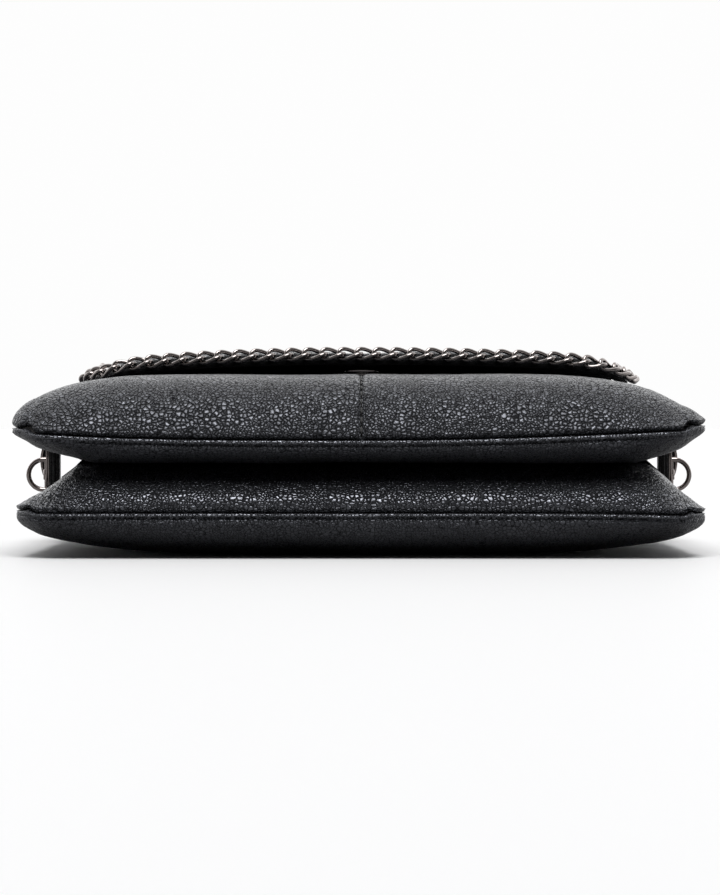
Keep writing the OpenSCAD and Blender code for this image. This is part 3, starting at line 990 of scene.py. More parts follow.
@dataclass
class Panel:
    """One outer panel, or one half of it: its bulge, and the rim that turns in to the seam."""

    bag: BagShape
    name: str
    form: Form
    half: int = 0
    columns: int = 190
    rows: int = 84
    rise: float = 1.55
    side_rise: float = 0.0
    tuck: float = 1.7
    leaf: float = 2.5
    joint: float = 0.02
    rim_steps: int = 6
    dip: float = 0.0
    groove: float = 0.5
    bead: float = 0.0
    notch: float = 0.0
    notch_x: float = 133.6
    notch_pull: tuple[float, float] = (1.7, 1.1)
    pleat: float = 0.16
    pleats: float = 46.0
    pleats_from: tuple[float, float] = (95.0, 40.0)
    seam_gap: float = 0.2
    seam_dip: float = 1.5
    seam_width: float = 0.75
    near: float = 7.0
    crowd: float = 2.6

    def rise_at(self, x: float, y: float) -> float:
        """Height above the seam at which the face starts: more at the sides than along the bottom."""
        return self.rise + self.side_rise * (1 - max(0.0, self.bag.inward(x, y).y))

    def across(self, u: float) -> float:
        """Share of the half width for a share across the grid, crowded to the seams.

        Args:
            u: Share across.

        Returns:
            The share, below 0 at the left.
        """
        if not self.half:
            w = 2 * u - 1
            return math.copysign(1 - (1 - abs(w)) ** 2.2, w)
        t = u if self.half > 0 else 1 - u
        return self.half * t**1.4 * (2 - t**1.2)

    def place(self, u: float, v: float) -> Vector:
        """A point of the panel's face.

        Args:
            u: Share across.
            v: Share along.

        Returns:
            The point.
        """
        y = self.bag.low_y + self.bag.pouch_h * v**self.crowd
        x = self.across(u) * self.bag.half_w(y)
        z = self.bag.height(self.form, x, y, self.rise_at(x, y))
        x = self.bag.drawn(self.form, x)
        if self.half:
            x = self.half * max(abs(x), self.seam_gap)
            z -= self.seam_dip * math.exp(-(abs(x) - self.seam_gap) / self.seam_width)
            x += self.bag.middle_x * bell(x, 40)
        return Vector((x, y, z))

    def sculpt(self, co: Vector) -> Vector:
        """Shift of a point by the stitched dip along the seam, the pleats and the fold at each corner.

        Args:
            co: The point.

        Returns:
            The shift.
        """
        bag, side = self.bag, self.form.value.side
        border, inward = bag.border(co.x, co.y), bag.inward(co.x, co.y)
        h = side * (co.z - bag.seam(self.form, co.x))
        near = bell(border, self.near)
        sunk = self.dip * bell(h - self.rise - self.groove, 0.8) - self.bead * bell(h - self.rise * 0.7, 1.3)
        shift = inward * (sunk * near * (0.12 + 0.88 * max(0.0, inward.y) ** 2))
        turn = math.atan2(co.y - bag.low_y - self.pleats_from[1], abs(co.x) - self.pleats_from[0])
        corner = bell(math.hypot(abs(co.x) - bag.half, co.y - bag.low_y), 26) * min(1.0, border / 6)
        shift += UP * (side * self.pleat * math.sin(turn * self.pleats) * corner)
        if co.y < bag.low_y + bag.corner_r:
            fold = self.notch * near * bell(abs(co.x) - self.notch_x, 2) * bell(h, 3.6)
            shift += (inward * self.notch_pull[0] + UP * (side * self.notch_pull[1])) * fold
        return shift

    def build(self) -> bpy.types.Object:
        """Makes the panel.

        Returns:
            The leather's object, its thickness still a modifier.
        """
        bm = grid_mesh(self.columns, self.rows, self.place)
        mouth, side = self.bag.mouth_y, self.form.value.side

        def open_edge(edge: bmesh.types.BMEdge) -> bool:
            """Whether an edge is at the mouth or at the middle seam.

            Args:
                edge: The edge.

            Returns:
                Whether it stays open.
            """
            a, b = edge.verts
            at_mouth = min(a.co.y, b.co.y) > mouth - 0.01
            in_middle = max(abs(v.co.x - self.bag.middle_x) for v in (a, b)) < self.seam_gap + 0.02
            return at_mouth or in_middle

        edges = [e for e in bm.edges if e.is_boundary and not open_edge(e)]
        turns = [math.pi / 2 * k / self.rim_steps for k in range(self.rim_steps + 1)]
        profile = [(self.tuck * (1 - math.cos(a)), math.sin(a)) for a in turns]
        profile.append((self.tuck + self.leaf, 1.0))
        for (d0, h0), (d1, h1) in zip(profile, profile[1:]):
            made = bmesh.ops.extrude_edge_only(bm, edges=edges)["geom"]
            verts = dict.fromkeys(g for g in made if isinstance(g, bmesh.types.BMVert))
            edges = [g for g in made if isinstance(g, bmesh.types.BMEdge) and set(g.verts) <= verts.keys()]
            for v in verts:
                drop = (self.rise_at(v.co.x, v.co.y) - self.joint) * (h1 - h0)
                v.co += self.bag.inward(v.co.x, v.co.y) * (d1 - d0) - UP * (side * drop)
        for v in bm.verts:
            v.co += self.sculpt(v.co)
        bmesh.ops.remove_doubles(bm, verts=bm.verts, dist=0.002)
        piece = finish_mesh(bm, self.name, UP * side)
        thicken(piece, self.bag.leather_t)
        return piece


@dataclass
class Stitches:
    """A row of short threads along a line."""

    pitch: float = 3.4
    length: float = 2.5
    thread: float = 0.62
    sink: float = 0.1

    def row(self, points: Sequence[Vector], ups: Sequence[Vector]) -> bmesh.types.BMesh:
        """Lays stitches along a line of points.

        Args:
            points: The line, close enough together to follow the leather.
            ups: The leather's outward direction at each point.

        Returns:
            A mesh with one small closed thread for each stitch.
        """
        bm = bmesh.new()
        for k, share in paces(points, self.pitch, True):
            along = (points[k + 1] - points[k]).normalized()
            up = (ups[k] - ups[k].dot(along) * along).normalized()
            centre = points[k].lerp(points[k + 1], share) - up * self.sink
            frame = Matrix((along, up.cross(along), up)).transposed().to_4x4()
            size = Matrix.Diagonal((self.length / 2, self.thread / 2, self.thread / 2, 1))
            bmesh.ops.create_uvsphere(
                bm, u_segments=6, v_segments=6, radius=1,
                matrix=Matrix.Translation(centre) @ frame @ size @ Matrix.Rotation(math.pi / 2, 4, "Y"),
            )
        return bm

    def sew(self, name: str, body: str, points: Sequence[Vector], ups: Sequence[Vector]) -> None:
        """Makes a row of stitches as a piece on a body."""
        dress(finish_mesh(self.row(points, ups), name), Look.THREAD, body)


@dataclass
class Pouches:
    """The two pouches: panels, linings and the gussets between them."""

    bag: BagShape
    lining_inside: float = 2.9
    lining_t: float = 0.7
    gusset_t: float = 0.5
    gusset_x: tuple[float, float] = (116.4, 121.2)
    gusset_leaf: float = 9.0
    welt_r: tuple[float, float] = (0.88, 0.66)
    welt_drop: float = 1.12

    def build(self) -> None:
        """Makes every piece of the pouches."""
        bag = self.bag
        upper = {"rise": 2.1, "tuck": 2.5, "notch": 1.25}
        inner = {"rise": 2.4, "tuck": 2.0, "notch": 0.8, "side_rise": -0.8}
        lower = {"rise": 1.6, "tuck": 1.9, "dip": 1.0, "bead": 0.2, "notch": -0.35, "side_rise": 0.5}
        for look, node, form, half, options in (
            (Look.OUTER, "front_panel_left", Form.FRONT_OUT, -1, upper),
            (Look.OUTER, "front_panel_right", Form.FRONT_OUT, 1, {**upper, "side_rise": 0.3}),
            (Look.UNDER, "front_pouch_back_panel", Form.FRONT_IN, 0, lower),
            # The rear pouch's front panel takes the shinier copy of the leather: painted highlight.
            (Look.INNER_HIGHLIGHT, "rear_pouch_front_panel", Form.REAR_IN, 0, inner),
            (Look.UNDER, "rear_pouch_back_panel", Form.REAR_OUT, 0, lower),
        ):
            name = (node if half else node.removesuffix("_panel")) + "_leather"
            panel = Panel(bag, name, form, half, 120 if half else 190, **options)
            dress(panel.build(), look, "bag", node)
        for name, forms in (
            ("front_pouch_lining", (Form.FRONT_OUT, Form.FRONT_IN)),
            ("rear_pouch_lining", (Form.REAR_IN, Form.REAR_OUT)),
        ):
            dress(self.lining(name + "_cloth", *forms), Look.LINING, "bag", name)
        for side, word in SIDES:
            dress(self.gusset(side, f"gusset_{word}_leather"), Look.TAB, "bag", f"gusset_{word}")
        for word, form, radius in zip(("front", "rear"), (Form.FRONT_IN, Form.REAR_OUT), self.welt_r):
            # The rolls take the shinier welt leather: painted highlight along the seams.
            dress(self.welt(f"{word}_pouch_welt", form, radius), Look.WELT_HIGHLIGHT, "bag")
        self.middle_stitches()

    def lining(self, name: str, upper: Form, lower: Form) -> bpy.types.Object:
        """A pocket of cloth inside two panels, open at the mouth.

        Args:
            name: The piece's name.
            upper: The panel above it.
            lower: The panel below it.

        Returns:
            The cloth's object.
        """
        bag, inside = self.bag, self.lining_inside
        start = bag.low_y + inside + 2

        def place(form: Form) -> Callable[[float, float], Vector]:
            """Gives the place function of one side.

            Args:
                form: The panel on that side.

            Returns:
                The function, from shares to a point.
            """

            def at(u: float, v: float) -> Vector:
                """A point of that side.

                Args:
                    u: Share across.
                    v: Share along.

                Returns:
                    The point.
                """
                y = start + (bag.mouth_y - start) * v**1.8
                x = math.sin(math.pi * (u - 0.5)) * (bag.half_w(y) - inside)
                closed = min(1.0, (1 - abs(2 * u - 1)) * 14, v * 9) ** 0.5
                flat = bag.height(form, x, y, inside=inside)
                flat = bag.seam(form, x) + (flat - bag.seam(form, x)) * closed
                x = bag.drawn(form, x)
                fold = 0.5 * drift(x, y, form.value.along.reach, (22, 40))
                keep = min(1.0, bag.border(x, y) / 20) * (1 - v**4)
                return Vector((x, y, flat - form.value.side * abs(fold) * keep * closed))

            return at

        bm = grid_mesh(64, 40, place(upper))
        other = grid_mesh(64, 40, place(lower))
        scrap = bpy.data.meshes.new("scrap")
        other.to_mesh(scrap)
        other.free()
        bm.from_mesh(scrap)
        bpy.data.meshes.remove(scrap)
        rims = [v for v in bm.verts if v.is_boundary and v.co.y < bag.mouth_y - 0.01]
        bmesh.ops.remove_doubles(bm, verts=rims, dist=0.05)
        piece = finish_mesh(bm, name)
        thicken(piece, self.lining_t)
        return piece

    def gusset(self, side: int, name: str) -> bpy.types.Object:
        """A strip folded to a V, sewn to both pouches with its fold inwards.

        Args:
            side: -1 for the left, 1 for the right.
            name: The piece's name.

        Returns:
            The strip's object.
        """
        bag = self.bag
        near, air = bag.low_y + bag.taper_from - 15, 0.15
        drawn = abs(bag.drawn(Form.REAR_IN, side))

        def place(u: float, v: float) -> Vector:
            """A point of the strip: u runs from the lower leaf to the upper, v to the mouth.

            Args:
                u: Share across.
                v: Share along.

            Returns:
                The point.
            """
            y = near + (bag.mouth_y - near) * v
            out = abs(2 * u - 1)
            x = self.gusset_x[side > 0] + self.gusset_leaf * (out**1.4)
            low = bag.height(Form.REAR_IN, side * x / drawn, y) + air
            high = max(low + self.gusset_t, bag.height(Form.FRONT_IN, side * x, y) - air)
            mix = 0.5 + 0.5 * math.copysign(min(1.0, out * 2.2) ** 0.7, u - 0.5)
            return Vector((side * x, y, low + (high - low) * mix))

        return sheet(name, (24, 40), place, Vector((side, 0, 0)), self.gusset_t, 1.0)

    def welt(self, name: str, form: Form, radius: float) -> bpy.types.Object:
        """The rolled edge of a lower panel, just under its seam and round both bottom corners.

        Args:
            name: The piece's name.
            form: The panel.
            radius: The roll's radius along the bottom.

        Returns:
            The roll's object.
        """
        bag, r = self.bag, self.bag.corner_r
        flat, up = bag.half - r, 34.0
        corner, steps, around = r * math.pi / 2, 360, 8
        bm = bmesh.new()
        whole = 2 * (flat + corner + up)
        last: list[bmesh.types.BMVert] = []
        for k in range(steps + 1):
            s = whole * k / steps - whole / 2
            far = abs(s) - flat
            turn = min(max(0.0, far), corner) / r
            x = math.copysign(min(abs(s), flat) + r * math.sin(turn), s)
            y = bag.low_y + r * (1 - math.cos(turn)) + max(0.0, far - corner)
            out = Vector((math.copysign(math.sin(turn), s), -math.cos(turn), 0))
            square, ends = math.cos(turn) ** 2, (steps - abs(2 * k - steps)) / 12
            size = radius * (0.25 + 0.75 * square) * min(1.0, ends + 0.15)
            z = bag.seam(form, x) - self.welt_drop * (0.4 + 0.6 * square)
            wander = 0.1 * noise.noise(Vector((s / 5, 3.7, form.value.along.reach)))
            centre = Vector((bag.drawn(form, x), y, z + wander)) - out * (0.25 + wander)
            angles = [2 * math.pi * a / around for a in range(around)]
            ring = [bm.verts.new(centre + size * (out * math.cos(a) + UP * math.sin(a))) for a in angles]
            for a in range(around if last else 0):
                b = (a + 1) % around
                bm.faces.new((last[a], last[b], ring[b], ring[a]))
            last = ring
        bmesh.ops.holes_fill(bm, edges=[e for e in bm.edges if e.is_boundary], sides=0)
        return finish_mesh(bm, name)

    def middle_stitches(self) -> None:
        """The row of stitches down the front panel's middle seam."""
        bag = self.bag
        ys = [bag.low_y + 0.3 + (bag.pouch_h - 4) * (k / 120) ** 1.8 for k in range(121)]
        points = [Vector((bag.middle_x, y, bag.height(Form.FRONT_OUT, 0, y, 2.1) - 0.95)) for y in ys]
        ups = [Vector((0, a.z - b.z, b.y - a.y)).normalized() for a, b in zip(points, points[1:])]
        stitches = Stitches(pitch=4.6, length=3.0, thread=0.9)
        stitches.sew("middle_seam_stitches", "bag", points, ups + ups[-1:])


@dataclass
class Flap:
    """The flap: leather and lining, each in a lower part on the back panel and an upper one."""

    shape: FlapShape
    leather_t: float = 1.4
    lining_t: float = 0.7
    fold_r: float = 5.0
    hem_r: float = 3.4
    split_z: float = 43.0
    split_gap: float = 0.25

    def pull(self, inset: float) -> float:
        """Share of the arch that the snap takes from a layer: all of it from the backing."""
        return self.shape.snap_pull if inset < self.leather_t else 1.0

    def upper_point(self, u: float, v: float, inset: float) -> Vector:
        """A point of the upper part's outer face, from the free edge over the fold and down.

        Args:
            u: Share across.
            v: Share along, 0 at the free edge.
            inset: Depth under the outer face.

        Returns:
            The point.
        """
        f = self.shape
        outer_y = f.fold_y + f.flap_t / 2
        bend_y = outer_y - self.fold_r
        w = math.sin(math.pi * (u - 0.5))
        front, bend = 0.62, 0.74
        if v <= front:
            y = f.low_y + (bend_y - f.low_y) * (v / front) ** 1.7
            x = f.half_w(y) * w
            return Vector((x, y, f.face(x, y, self.pull(inset)) - inset))
        x = f.half * w
        top = f.face(x, bend_y, self.pull(inset))
        if v <= bend:
            a = math.pi / 2 * (v - front) / (bend - front)
            r = self.fold_r - inset
            return Vector((x, bend_y + r * math.sin(a), top - self.fold_r + r * math.cos(a)))
        t = (v - bend) / (1 - bend)
        end = self.split_z + self.split_gap
        return Vector((x, outer_y - inset, top - self.fold_r + (end - top + self.fold_r) * t))

    def lower_point(self, u: float, v: float, inset: float) -> Vector:
        """A point of the lower part's outer face, from the split down to the hem on the back panel.

        Args:
            u: Share across.
            v: Share along, 0 at the split.
            inset: Depth under the outer face.

        Returns:
            The point.
        """
        f = self.shape
        outer_y = f.fold_y + f.flap_t / 2
        w = math.sin(math.pi * (u - 0.5))
        down, bend = 0.6, 0.85
        drawn = f.half - f.hem_inset * min(1.0, max(0.0, v / bend)) ** 3
        x = drawn * w
        foot = f.bag.height(Form.REAR_OUT, (f.half - f.hem_inset) * w, f.bag.mouth_y)
        if v <= down:
            start = self.split_z - self.split_gap
            return Vector((x, outer_y - inset, start + (foot + self.hem_r - start) * v / down))
        if v <= bend:
            a = math.pi / 2 * (v - down) / (bend - down)
            r = self.hem_r - inset
            return Vector((x, outer_y - self.hem_r + r * math.cos(a), foot + self.hem_r - r * math.sin(a)))
        t = (v - bend) / (1 - bend)
        near = f.bag.mouth_y + 0.3
        return Vector((x, outer_y - self.hem_r + (near - outer_y + self.hem_r) * t, foot + inset))

    def layer(self, name: str, upper: bool, inset: float, thickness: float) -> bpy.types.Object:
        """One layer of one part.

        Args:
            name: The piece's name.
            upper: Whether it is the part with the free edge.
            inset: Depth of its outer face.
            thickness: Its thickness.

        Returns:
            The layer's object.
        """
        if upper:
            point, rows, facing = self.upper_point, 96, Vector((0, 0.5, 1))
        else:
            point, rows, facing = self.lower_point, 40, Vector((0, 1, -0.3))
        return sheet(name, (96, rows), lambda u, v: point(u, v, inset), facing, thickness, -1.0, 0.32)

    def build(self) -> None:
        """Makes the flap's layers and its stitches."""
        fold = self.shape.fold_y * MM
        leather = (Look.OUTER, 0.0, self.leather_t)
        backing = (Look.BACKING, self.leather_t + 0.1, self.lining_t)
        rows = (
            ("flap_leather", True, *leather, ("flap_front_leather", "flap_top_leather")),
            ("flap_backing", True, *backing, ("flap_front_lining", "flap_top_lining")),
            ("flap_foot_leather", False, *leather, ("flap_hem",)),
            ("flap_foot_backing", False, *backing, ()),
        )
        for name, upper, look, inset, thick, nodes in rows:
            piece = dress(self.layer(name, upper, inset, thick), look, None, *nodes)
            if upper:
                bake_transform(piece)
            else:
                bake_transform(piece)
        self.shade_binding()
        self.edge_stitches()
        self.split_stitches()

    def shade_binding(self, width: float = 5.6, lift: float = 0.14) -> None:
        """The flap's bound edge, a smooth strip on the leather under the chain, near-black and dull as
        painted shade of the chain.

        Args:
            width: How far in it reaches from the flap's edge.
            lift: How far it stands over the leather.
        """
        f = self.shape
        path = ChainPath(f)
        profile = (
            (-lift, -1.5), (-lift, -0.45), (0.0, -0.05), (0.5, lift), (0.3 * width, lift),
            (0.55 * width, lift), (0.8 * width, lift), (0.97 * width, lift), (width, -0.1),
        )

        def place(u: float, v: float) -> Vector:
            """A point of the strip, u along the edge and v inwards.

            Args:
                u: Share along the edge.
                v: Share inwards.

            Returns:
                The point.
            """
            inset, up = profile[round(v * (len(profile) - 1))]
            s = 2 + (path.length - 4) * u
            return Vector((*path.inside(s, inset), f.face(*path.inside(s, max(0.35, inset))) + up))

        piece = finish_mesh(grid_mesh(260, len(profile) - 1, place), "flap_edge_shade_binding", UP)
        # Near-black strip: painted shade of the chain on the flap's edge.
        dress(piece, Look.SHADE_LEATHER, "flap_front")

    def edge_stitches(self, inset: float = 7.5) -> None:
        """The row of stitches along the flap's edge, on its front part.

        Args:
            inset: Distance from the edge.
        """
        path = ChainPath(self.shape)
        places = [path.inside(path.length * k / 240, inset) for k in range(241)]
        points = [Vector((x, y, self.shape.face(x, y))) for x, y in places]
        Stitches(pitch=3.6).sew("flap_edge_stitches", "flap_front", points, [UP] * len(points))

    def split_stitches(self) -> None:
        """Two rows of stitches beside the seam across the part over the bag's top."""
        f = self.shape
        y = f.fold_y + f.flap_t / 2
        for word, z in (("upper", self.split_z + 3), ("lower", self.split_z - 3)):
            points = [Vector((f.half * 0.985 * (k / 60 * 2 - 1), y, z)) for k in range(61)]
            ups = [Vector((0, 1, 0))] * len(points)
            Stitches(pitch=3.6).sew(f"top_seam_stitches_{word}", "flap_top", points, ups)


@dataclass(frozen=True)
class ChainPath:
    """The line that the chain's middle follows round the flap's edge."""

    flap: FlapShape
    out: float = 2.0
    up: float = 1.3
    start: float = 8.0
    steps: int = 180
    pitch: float = 7.6

    @property
    def radius(self) -> float:
        """Radius of the path at the flap's corners."""
        return self.flap.corner_r + self.out

    @property
    def side(self) -> float:
        """Length of a straight side."""
        return self.flap.flap_l - self.start - self.flap.corner_r

    @property
    def arc(self) -> float:
        """Length of a corner."""
        return self.radius * math.pi / 2

    @property
    def length(self) -> float:
        """Whole length, seen from the front."""
        return 2 * (self.side + self.arc) + self.flap.flap_w - 2 * self.flap.corner_r

    def flat(self, s: float) -> tuple[tuple[float, float], float]:
        """Place and outward direction at a length, seen from the front.

        Args:
            s: Length from the path's start at the left.

        Returns:
            The place and the angle.
        """
        if s > self.length / 2:
            (x, y), out = self.flat(self.length - s)
            return (-x, y), math.pi - out
        f = self.flap
        if s < self.side:
            return (-f.half - self.out, f.fold_y - self.start - s), math.pi
        cx, cy = -f.half + f.corner_r, f.low_y + f.corner_r
        if s < self.side + self.arc:
            a = math.pi + math.pi / 2 * (s - self.side) / self.arc
            return (cx + self.radius * math.cos(a), cy + self.radius * math.sin(a)), a
        return (cx + s - self.side - self.arc, f.low_y - self.out), 1.5 * math.pi

    def inside(self, s: float, inset: float) -> tuple[float, float]:
        """Place on the flap at a length and a distance in from its edge."""
        (x, y), a = self.flat(s)
        return x - (self.out + inset) * math.cos(a), y - (self.out + inset) * math.sin(a)

    def point(self, s: float) -> Vector:
        """Place at a length, on the flap's edge."""
        z = self.flap.underside(*self.inside(s, 0.0))
        return Vector((*self.flat(s)[0], z + self.flap.flap_t + self.up))

    def link_places(self) -> list[float]:
        """Lengths at which the links sit, spaced along the path's real length.

        Returns:
            The lengths from the path's start.
        """
        marks = [self.length * k / self.steps for k in range(self.steps + 1)]
        found = paces([self.point(s) for s in marks], self.pitch, False)
        return [marks[k] + (marks[k + 1] - marks[k]) * share for k, share in found]


@dataclass
class Chain:
    """The curb chain along the flap's edge, in three runs of loose links."""

    path: ChainPath
    wire: float = 1.8
    link_a: float = 5.05
    link_b: float = 2.8
    twist: float = 1.2
    tilt: float = math.radians(38)
    sides: int = 10
    steps: int = 30

    def link(self) -> bmesh.types.BMesh:
        """One link, flat on the origin: a wire spun to a ring, stretched to an oval and twisted.

        Returns:
            The link's mesh.
        """
        bm = bmesh.new()
        ring = bmesh.ops.create_circle(
            bm, segments=self.sides, radius=self.wire / 2,
            matrix=Matrix.Translation((self.link_a, 0, 0)) @ Matrix.Rotation(math.pi / 2, 4, "X"),
        )["verts"]
        edges = list(dict.fromkeys(e for v in ring for e in v.link_edges))
        bmesh.ops.spin(
            bm, geom=list(ring) + edges, cent=(0, 0, 0), axis=(0, 0, 1),
            angle=2 * math.pi, steps=self.steps, use_merge=True,
        )
        for v in bm.verts:
            v.co = self.bent(v.co)
        bmesh.ops.recalc_face_normals(bm, faces=bm.faces)
        return bm

    def bent(self, co: Vector) -> Vector:
        """A point of the round ring moved to the twisted oval.

        Args:
            co: The point.

        Returns:
            The moved point.
        """
        t, a, b = math.atan2(co.y, co.x), self.link_a, self.link_b
        off = math.hypot(co.x, co.y) - a
        centre = Vector((a * math.cos(t), b * math.sin(t), self.twist * math.sin(2 * t)))
        tangent = Vector((-a * math.sin(t), b * math.cos(t), 2 * self.twist * math.cos(2 * t)))
        tangent.normalize()
        away = Vector((b * math.cos(t), a * math.sin(t), 0))
        away = (away - away.dot(tangent) * tangent).normalized()
        return centre + away * off + away.cross(tangent) * co.z

    def frame(self, s: float) -> Matrix:
        """Turns and moves a link to its place on the path.

        Args:
            s: Length along the path.

        Returns:
            The link's matrix.
        """
        p, out = self.path.point(s), self.path.flat(s)[1]
        step = self.path.pitch / 8
        along = (self.path.point(s + step) - self.path.point(s - step)).normalized()
        lean = Vector((math.cos(out), math.sin(out), 0)) * math.cos(self.tilt) - UP * math.sin(self.tilt)
        wide = (lean - lean.dot(along) * along).normalized()
        return Matrix.Translation(p) @ Matrix((along, wide, wide.cross(along))).transposed().to_4x4()

    def build(self) -> None:
        """Makes the three runs."""
        places = self.path.link_places()
        sides = int((self.path.side + self.path.arc) / self.path.pitch)
        runs = {"left": places[:sides], "front": places[sides:-sides], "right": places[-sides:]}
        link = bpy.data.meshes.new("link")
        made = self.link()
        made.to_mesh(link)
        made.free()
        for word, run in runs.items():
            bm = bmesh.new()
            for s in run:
                first = len(bm.verts)
                bm.from_mesh(link)
                bm.verts.ensure_lookup_table()
                bmesh.ops.transform(bm, matrix=self.frame(s), verts=bm.verts[first:])
            dress(finish_mesh(bm, f"chain_{word}_links"), Look.CHAIN, "flap_front", f"chain_{word}")
        bpy.data.meshes.remove(link)


@dataclass
class SnapDiscs:
    """The magnetic snap's socket and stud, turned from their profiles."""

    flap: FlapShape
    radius: float = 8.2
    post_r: float = 3.0
    hole_r: float = 3.3
    soft: float = 0.3
    clear: float = 0.3
    socket_share: float = 0.4
    post_share: float = 0.6

    def spots(self) -> list[tuple[float, float]]:
        """Places under the discs.

        Returns:
            The places, seen from the front.
        """
        turns = [math.pi / 4 * k for k in range(8)]
        x, y = self.flap.bag.middle_x, self.flap.snap_y
        return [(x + r * math.cos(a), y + r * math.sin(a)) for a in turns for r in (0.0, self.radius)]

    def build(self) -> None:
        """Makes both discs."""
        bag, r, soft = self.flap.bag, self.radius, self.soft
        low = max(bag.flat(*q) for q in self.spots()) + self.clear
        top = min(self.flap.underside(*q) + self.flap.puff(*q, 1.0) for q in self.spots()) - self.clear
        high = low + (top - low) * self.socket_share
        post_h = (high - low) * self.post_share
        floor, foot = high - post_h - self.clear, low + 0.1
        socket = [
            (0, foot), (r - soft, foot), (r - soft / 3, foot + soft / 3), (r, foot + soft),
            (r, high - soft), (r - soft / 3, high - soft / 3), (r - soft, high), (r - 1.2, high),
            (r - 1.5, high - 0.18), (r - 1.9, high - 0.18), (r - 2.2, high), (self.hole_r + 0.2, high),
            (self.hole_r, high - 0.2), (self.hole_r, floor), (0, floor),
        ]
        under = high + self.clear
        tip = under - post_h
        stud = [
            (0, tip), (self.post_r - 0.5, tip), (self.post_r - 0.15, tip + 0.1), (self.post_r, tip + 0.4),
            (self.post_r, under), (r - 1.4, under), (r - soft, under + 0.05),
            (r - soft / 4, under + soft / 2), (r, under + soft), (r, top - soft),
            (r - soft / 3, top - soft / 3), (r - soft, top), (0, top),
        ]
        at = (bag.middle_x, self.flap.snap_y, 0)
        dress(lathe("snap_socket_disc", socket, at, 72), Look.SNAP, "bag", "snap_socket")
        dress(lathe("snap_stud_disc", stud, at, 72), Look.SNAP, "flap_front", "snap_stud")


@dataclass
class SideTab:
    """A folded tab between the pouches, in three layers with stitches along its edges."""

    bag: BagShape
    side: int
    word: str
    tab_y: float = 40.75
    tab_w: float = 22.0
    outer_x: float = 141.0
    tab_t: float = 5.0
    rise: float = 12.0
    taper: float = 3.0
    bow: float = 0.12
    stitch_in: float = 1.7

    def ends(self, x: float) -> tuple[float, float]:
        """Where the tab starts and ends at a place across its thickness.

        Args:
            x: Place across.

        Returns:
            The lower and the upper height.
        """
        inner, air = self.outer_x - self.tab_t, 0.3
        low = self.bag.height(Form.REAR_IN, self.side * x, self.tab_y) + air
        high, reach = (self.bag.height(Form.FRONT_IN, self.side * p, self.tab_y) - air for p in (x, inner))
        return low, min(high, reach + self.rise * (x - inner) / self.tab_t)

    def layer(self, name: str, x: float, thickness: float, inset: float) -> bpy.types.Object:
        """One layer of the folded tab.

        Args:
            name: The piece's name.
            x: Its outer face.
            thickness: Its thickness.
            inset: How far its long edges stand back.

        Returns:
            The layer's object.
        """
        low, high = self.ends(x - thickness / 2)

        def place(u: float, v: float) -> Vector:
            """A point of the layer's outer face.

            Args:
                u: Share across.
                v: Share along.

            Returns:
                The point.
            """
            y = self.tab_y + inset + (self.tab_w - 2 * inset) * u
            bow = self.bow * math.sin(math.pi * v) + 0.05 * noise.noise(Vector((x, y / 9, v * 4)))
            slim = self.taper * (self.outer_x - x) / self.tab_t * (y - self.tab_y) / self.tab_w
            return Vector((self.side * (x - bow + slim), y, low + (high - low) * v))

        piece = finish_mesh(grid_mesh(20, 20, place), name, Vector((self.side, 0, 0)))
        thicken(piece, thickness, -1.0, min(0.45, thickness * 0.32))
        return piece

    def build(self) -> None:
        """Makes the layers and the two rows of stitches."""
        name, outward = f"side_tab_{self.word}", Vector((self.side, 0, 0))
        for word, look, depth, thickness, inset, nodes in (
            ("face", Look.TAB, 0.0, 1.5, 0.0, (name,)),
            # The two light grey layers are painted highlights: their edges stand for the thin light lines
            # between the tab's layers.
            ("paint", Look.EDGE_HIGHLIGHT, 1.55, 0.35, 0.1, ()),
            ("core", Look.TAB, 1.95, 1.2, 0.35, ()),
            ("back", Look.TAB, 3.2, 1.2, 0.0, ()),
            ("back_highlight", Look.EDGE_HIGHLIGHT, 4.45, 0.4, 0.0, ()),
        ):
            dress(self.layer(f"{name}_{word}", self.outer_x - depth, thickness, inset), look, "bag", *nodes)
        low, high = self.ends(self.outer_x)
        for word, y in (("near", self.stitch_in), ("far", self.tab_w - self.stitch_in)):
            points = []
            for v in (k / 20 for k in range(21)):
                x = self.side * (self.outer_x + 0.02 - self.bow * math.sin(math.pi * v))
                points.append(Vector((x, self.tab_y + y, low + 1 + (high - low - 2) * v)))
            stitches = Stitches(pitch=2.9, length=2.1, thread=0.5)
            stitches.sew(f"{name}_stitches_{word}", "bag", points, [outward] * len(points))


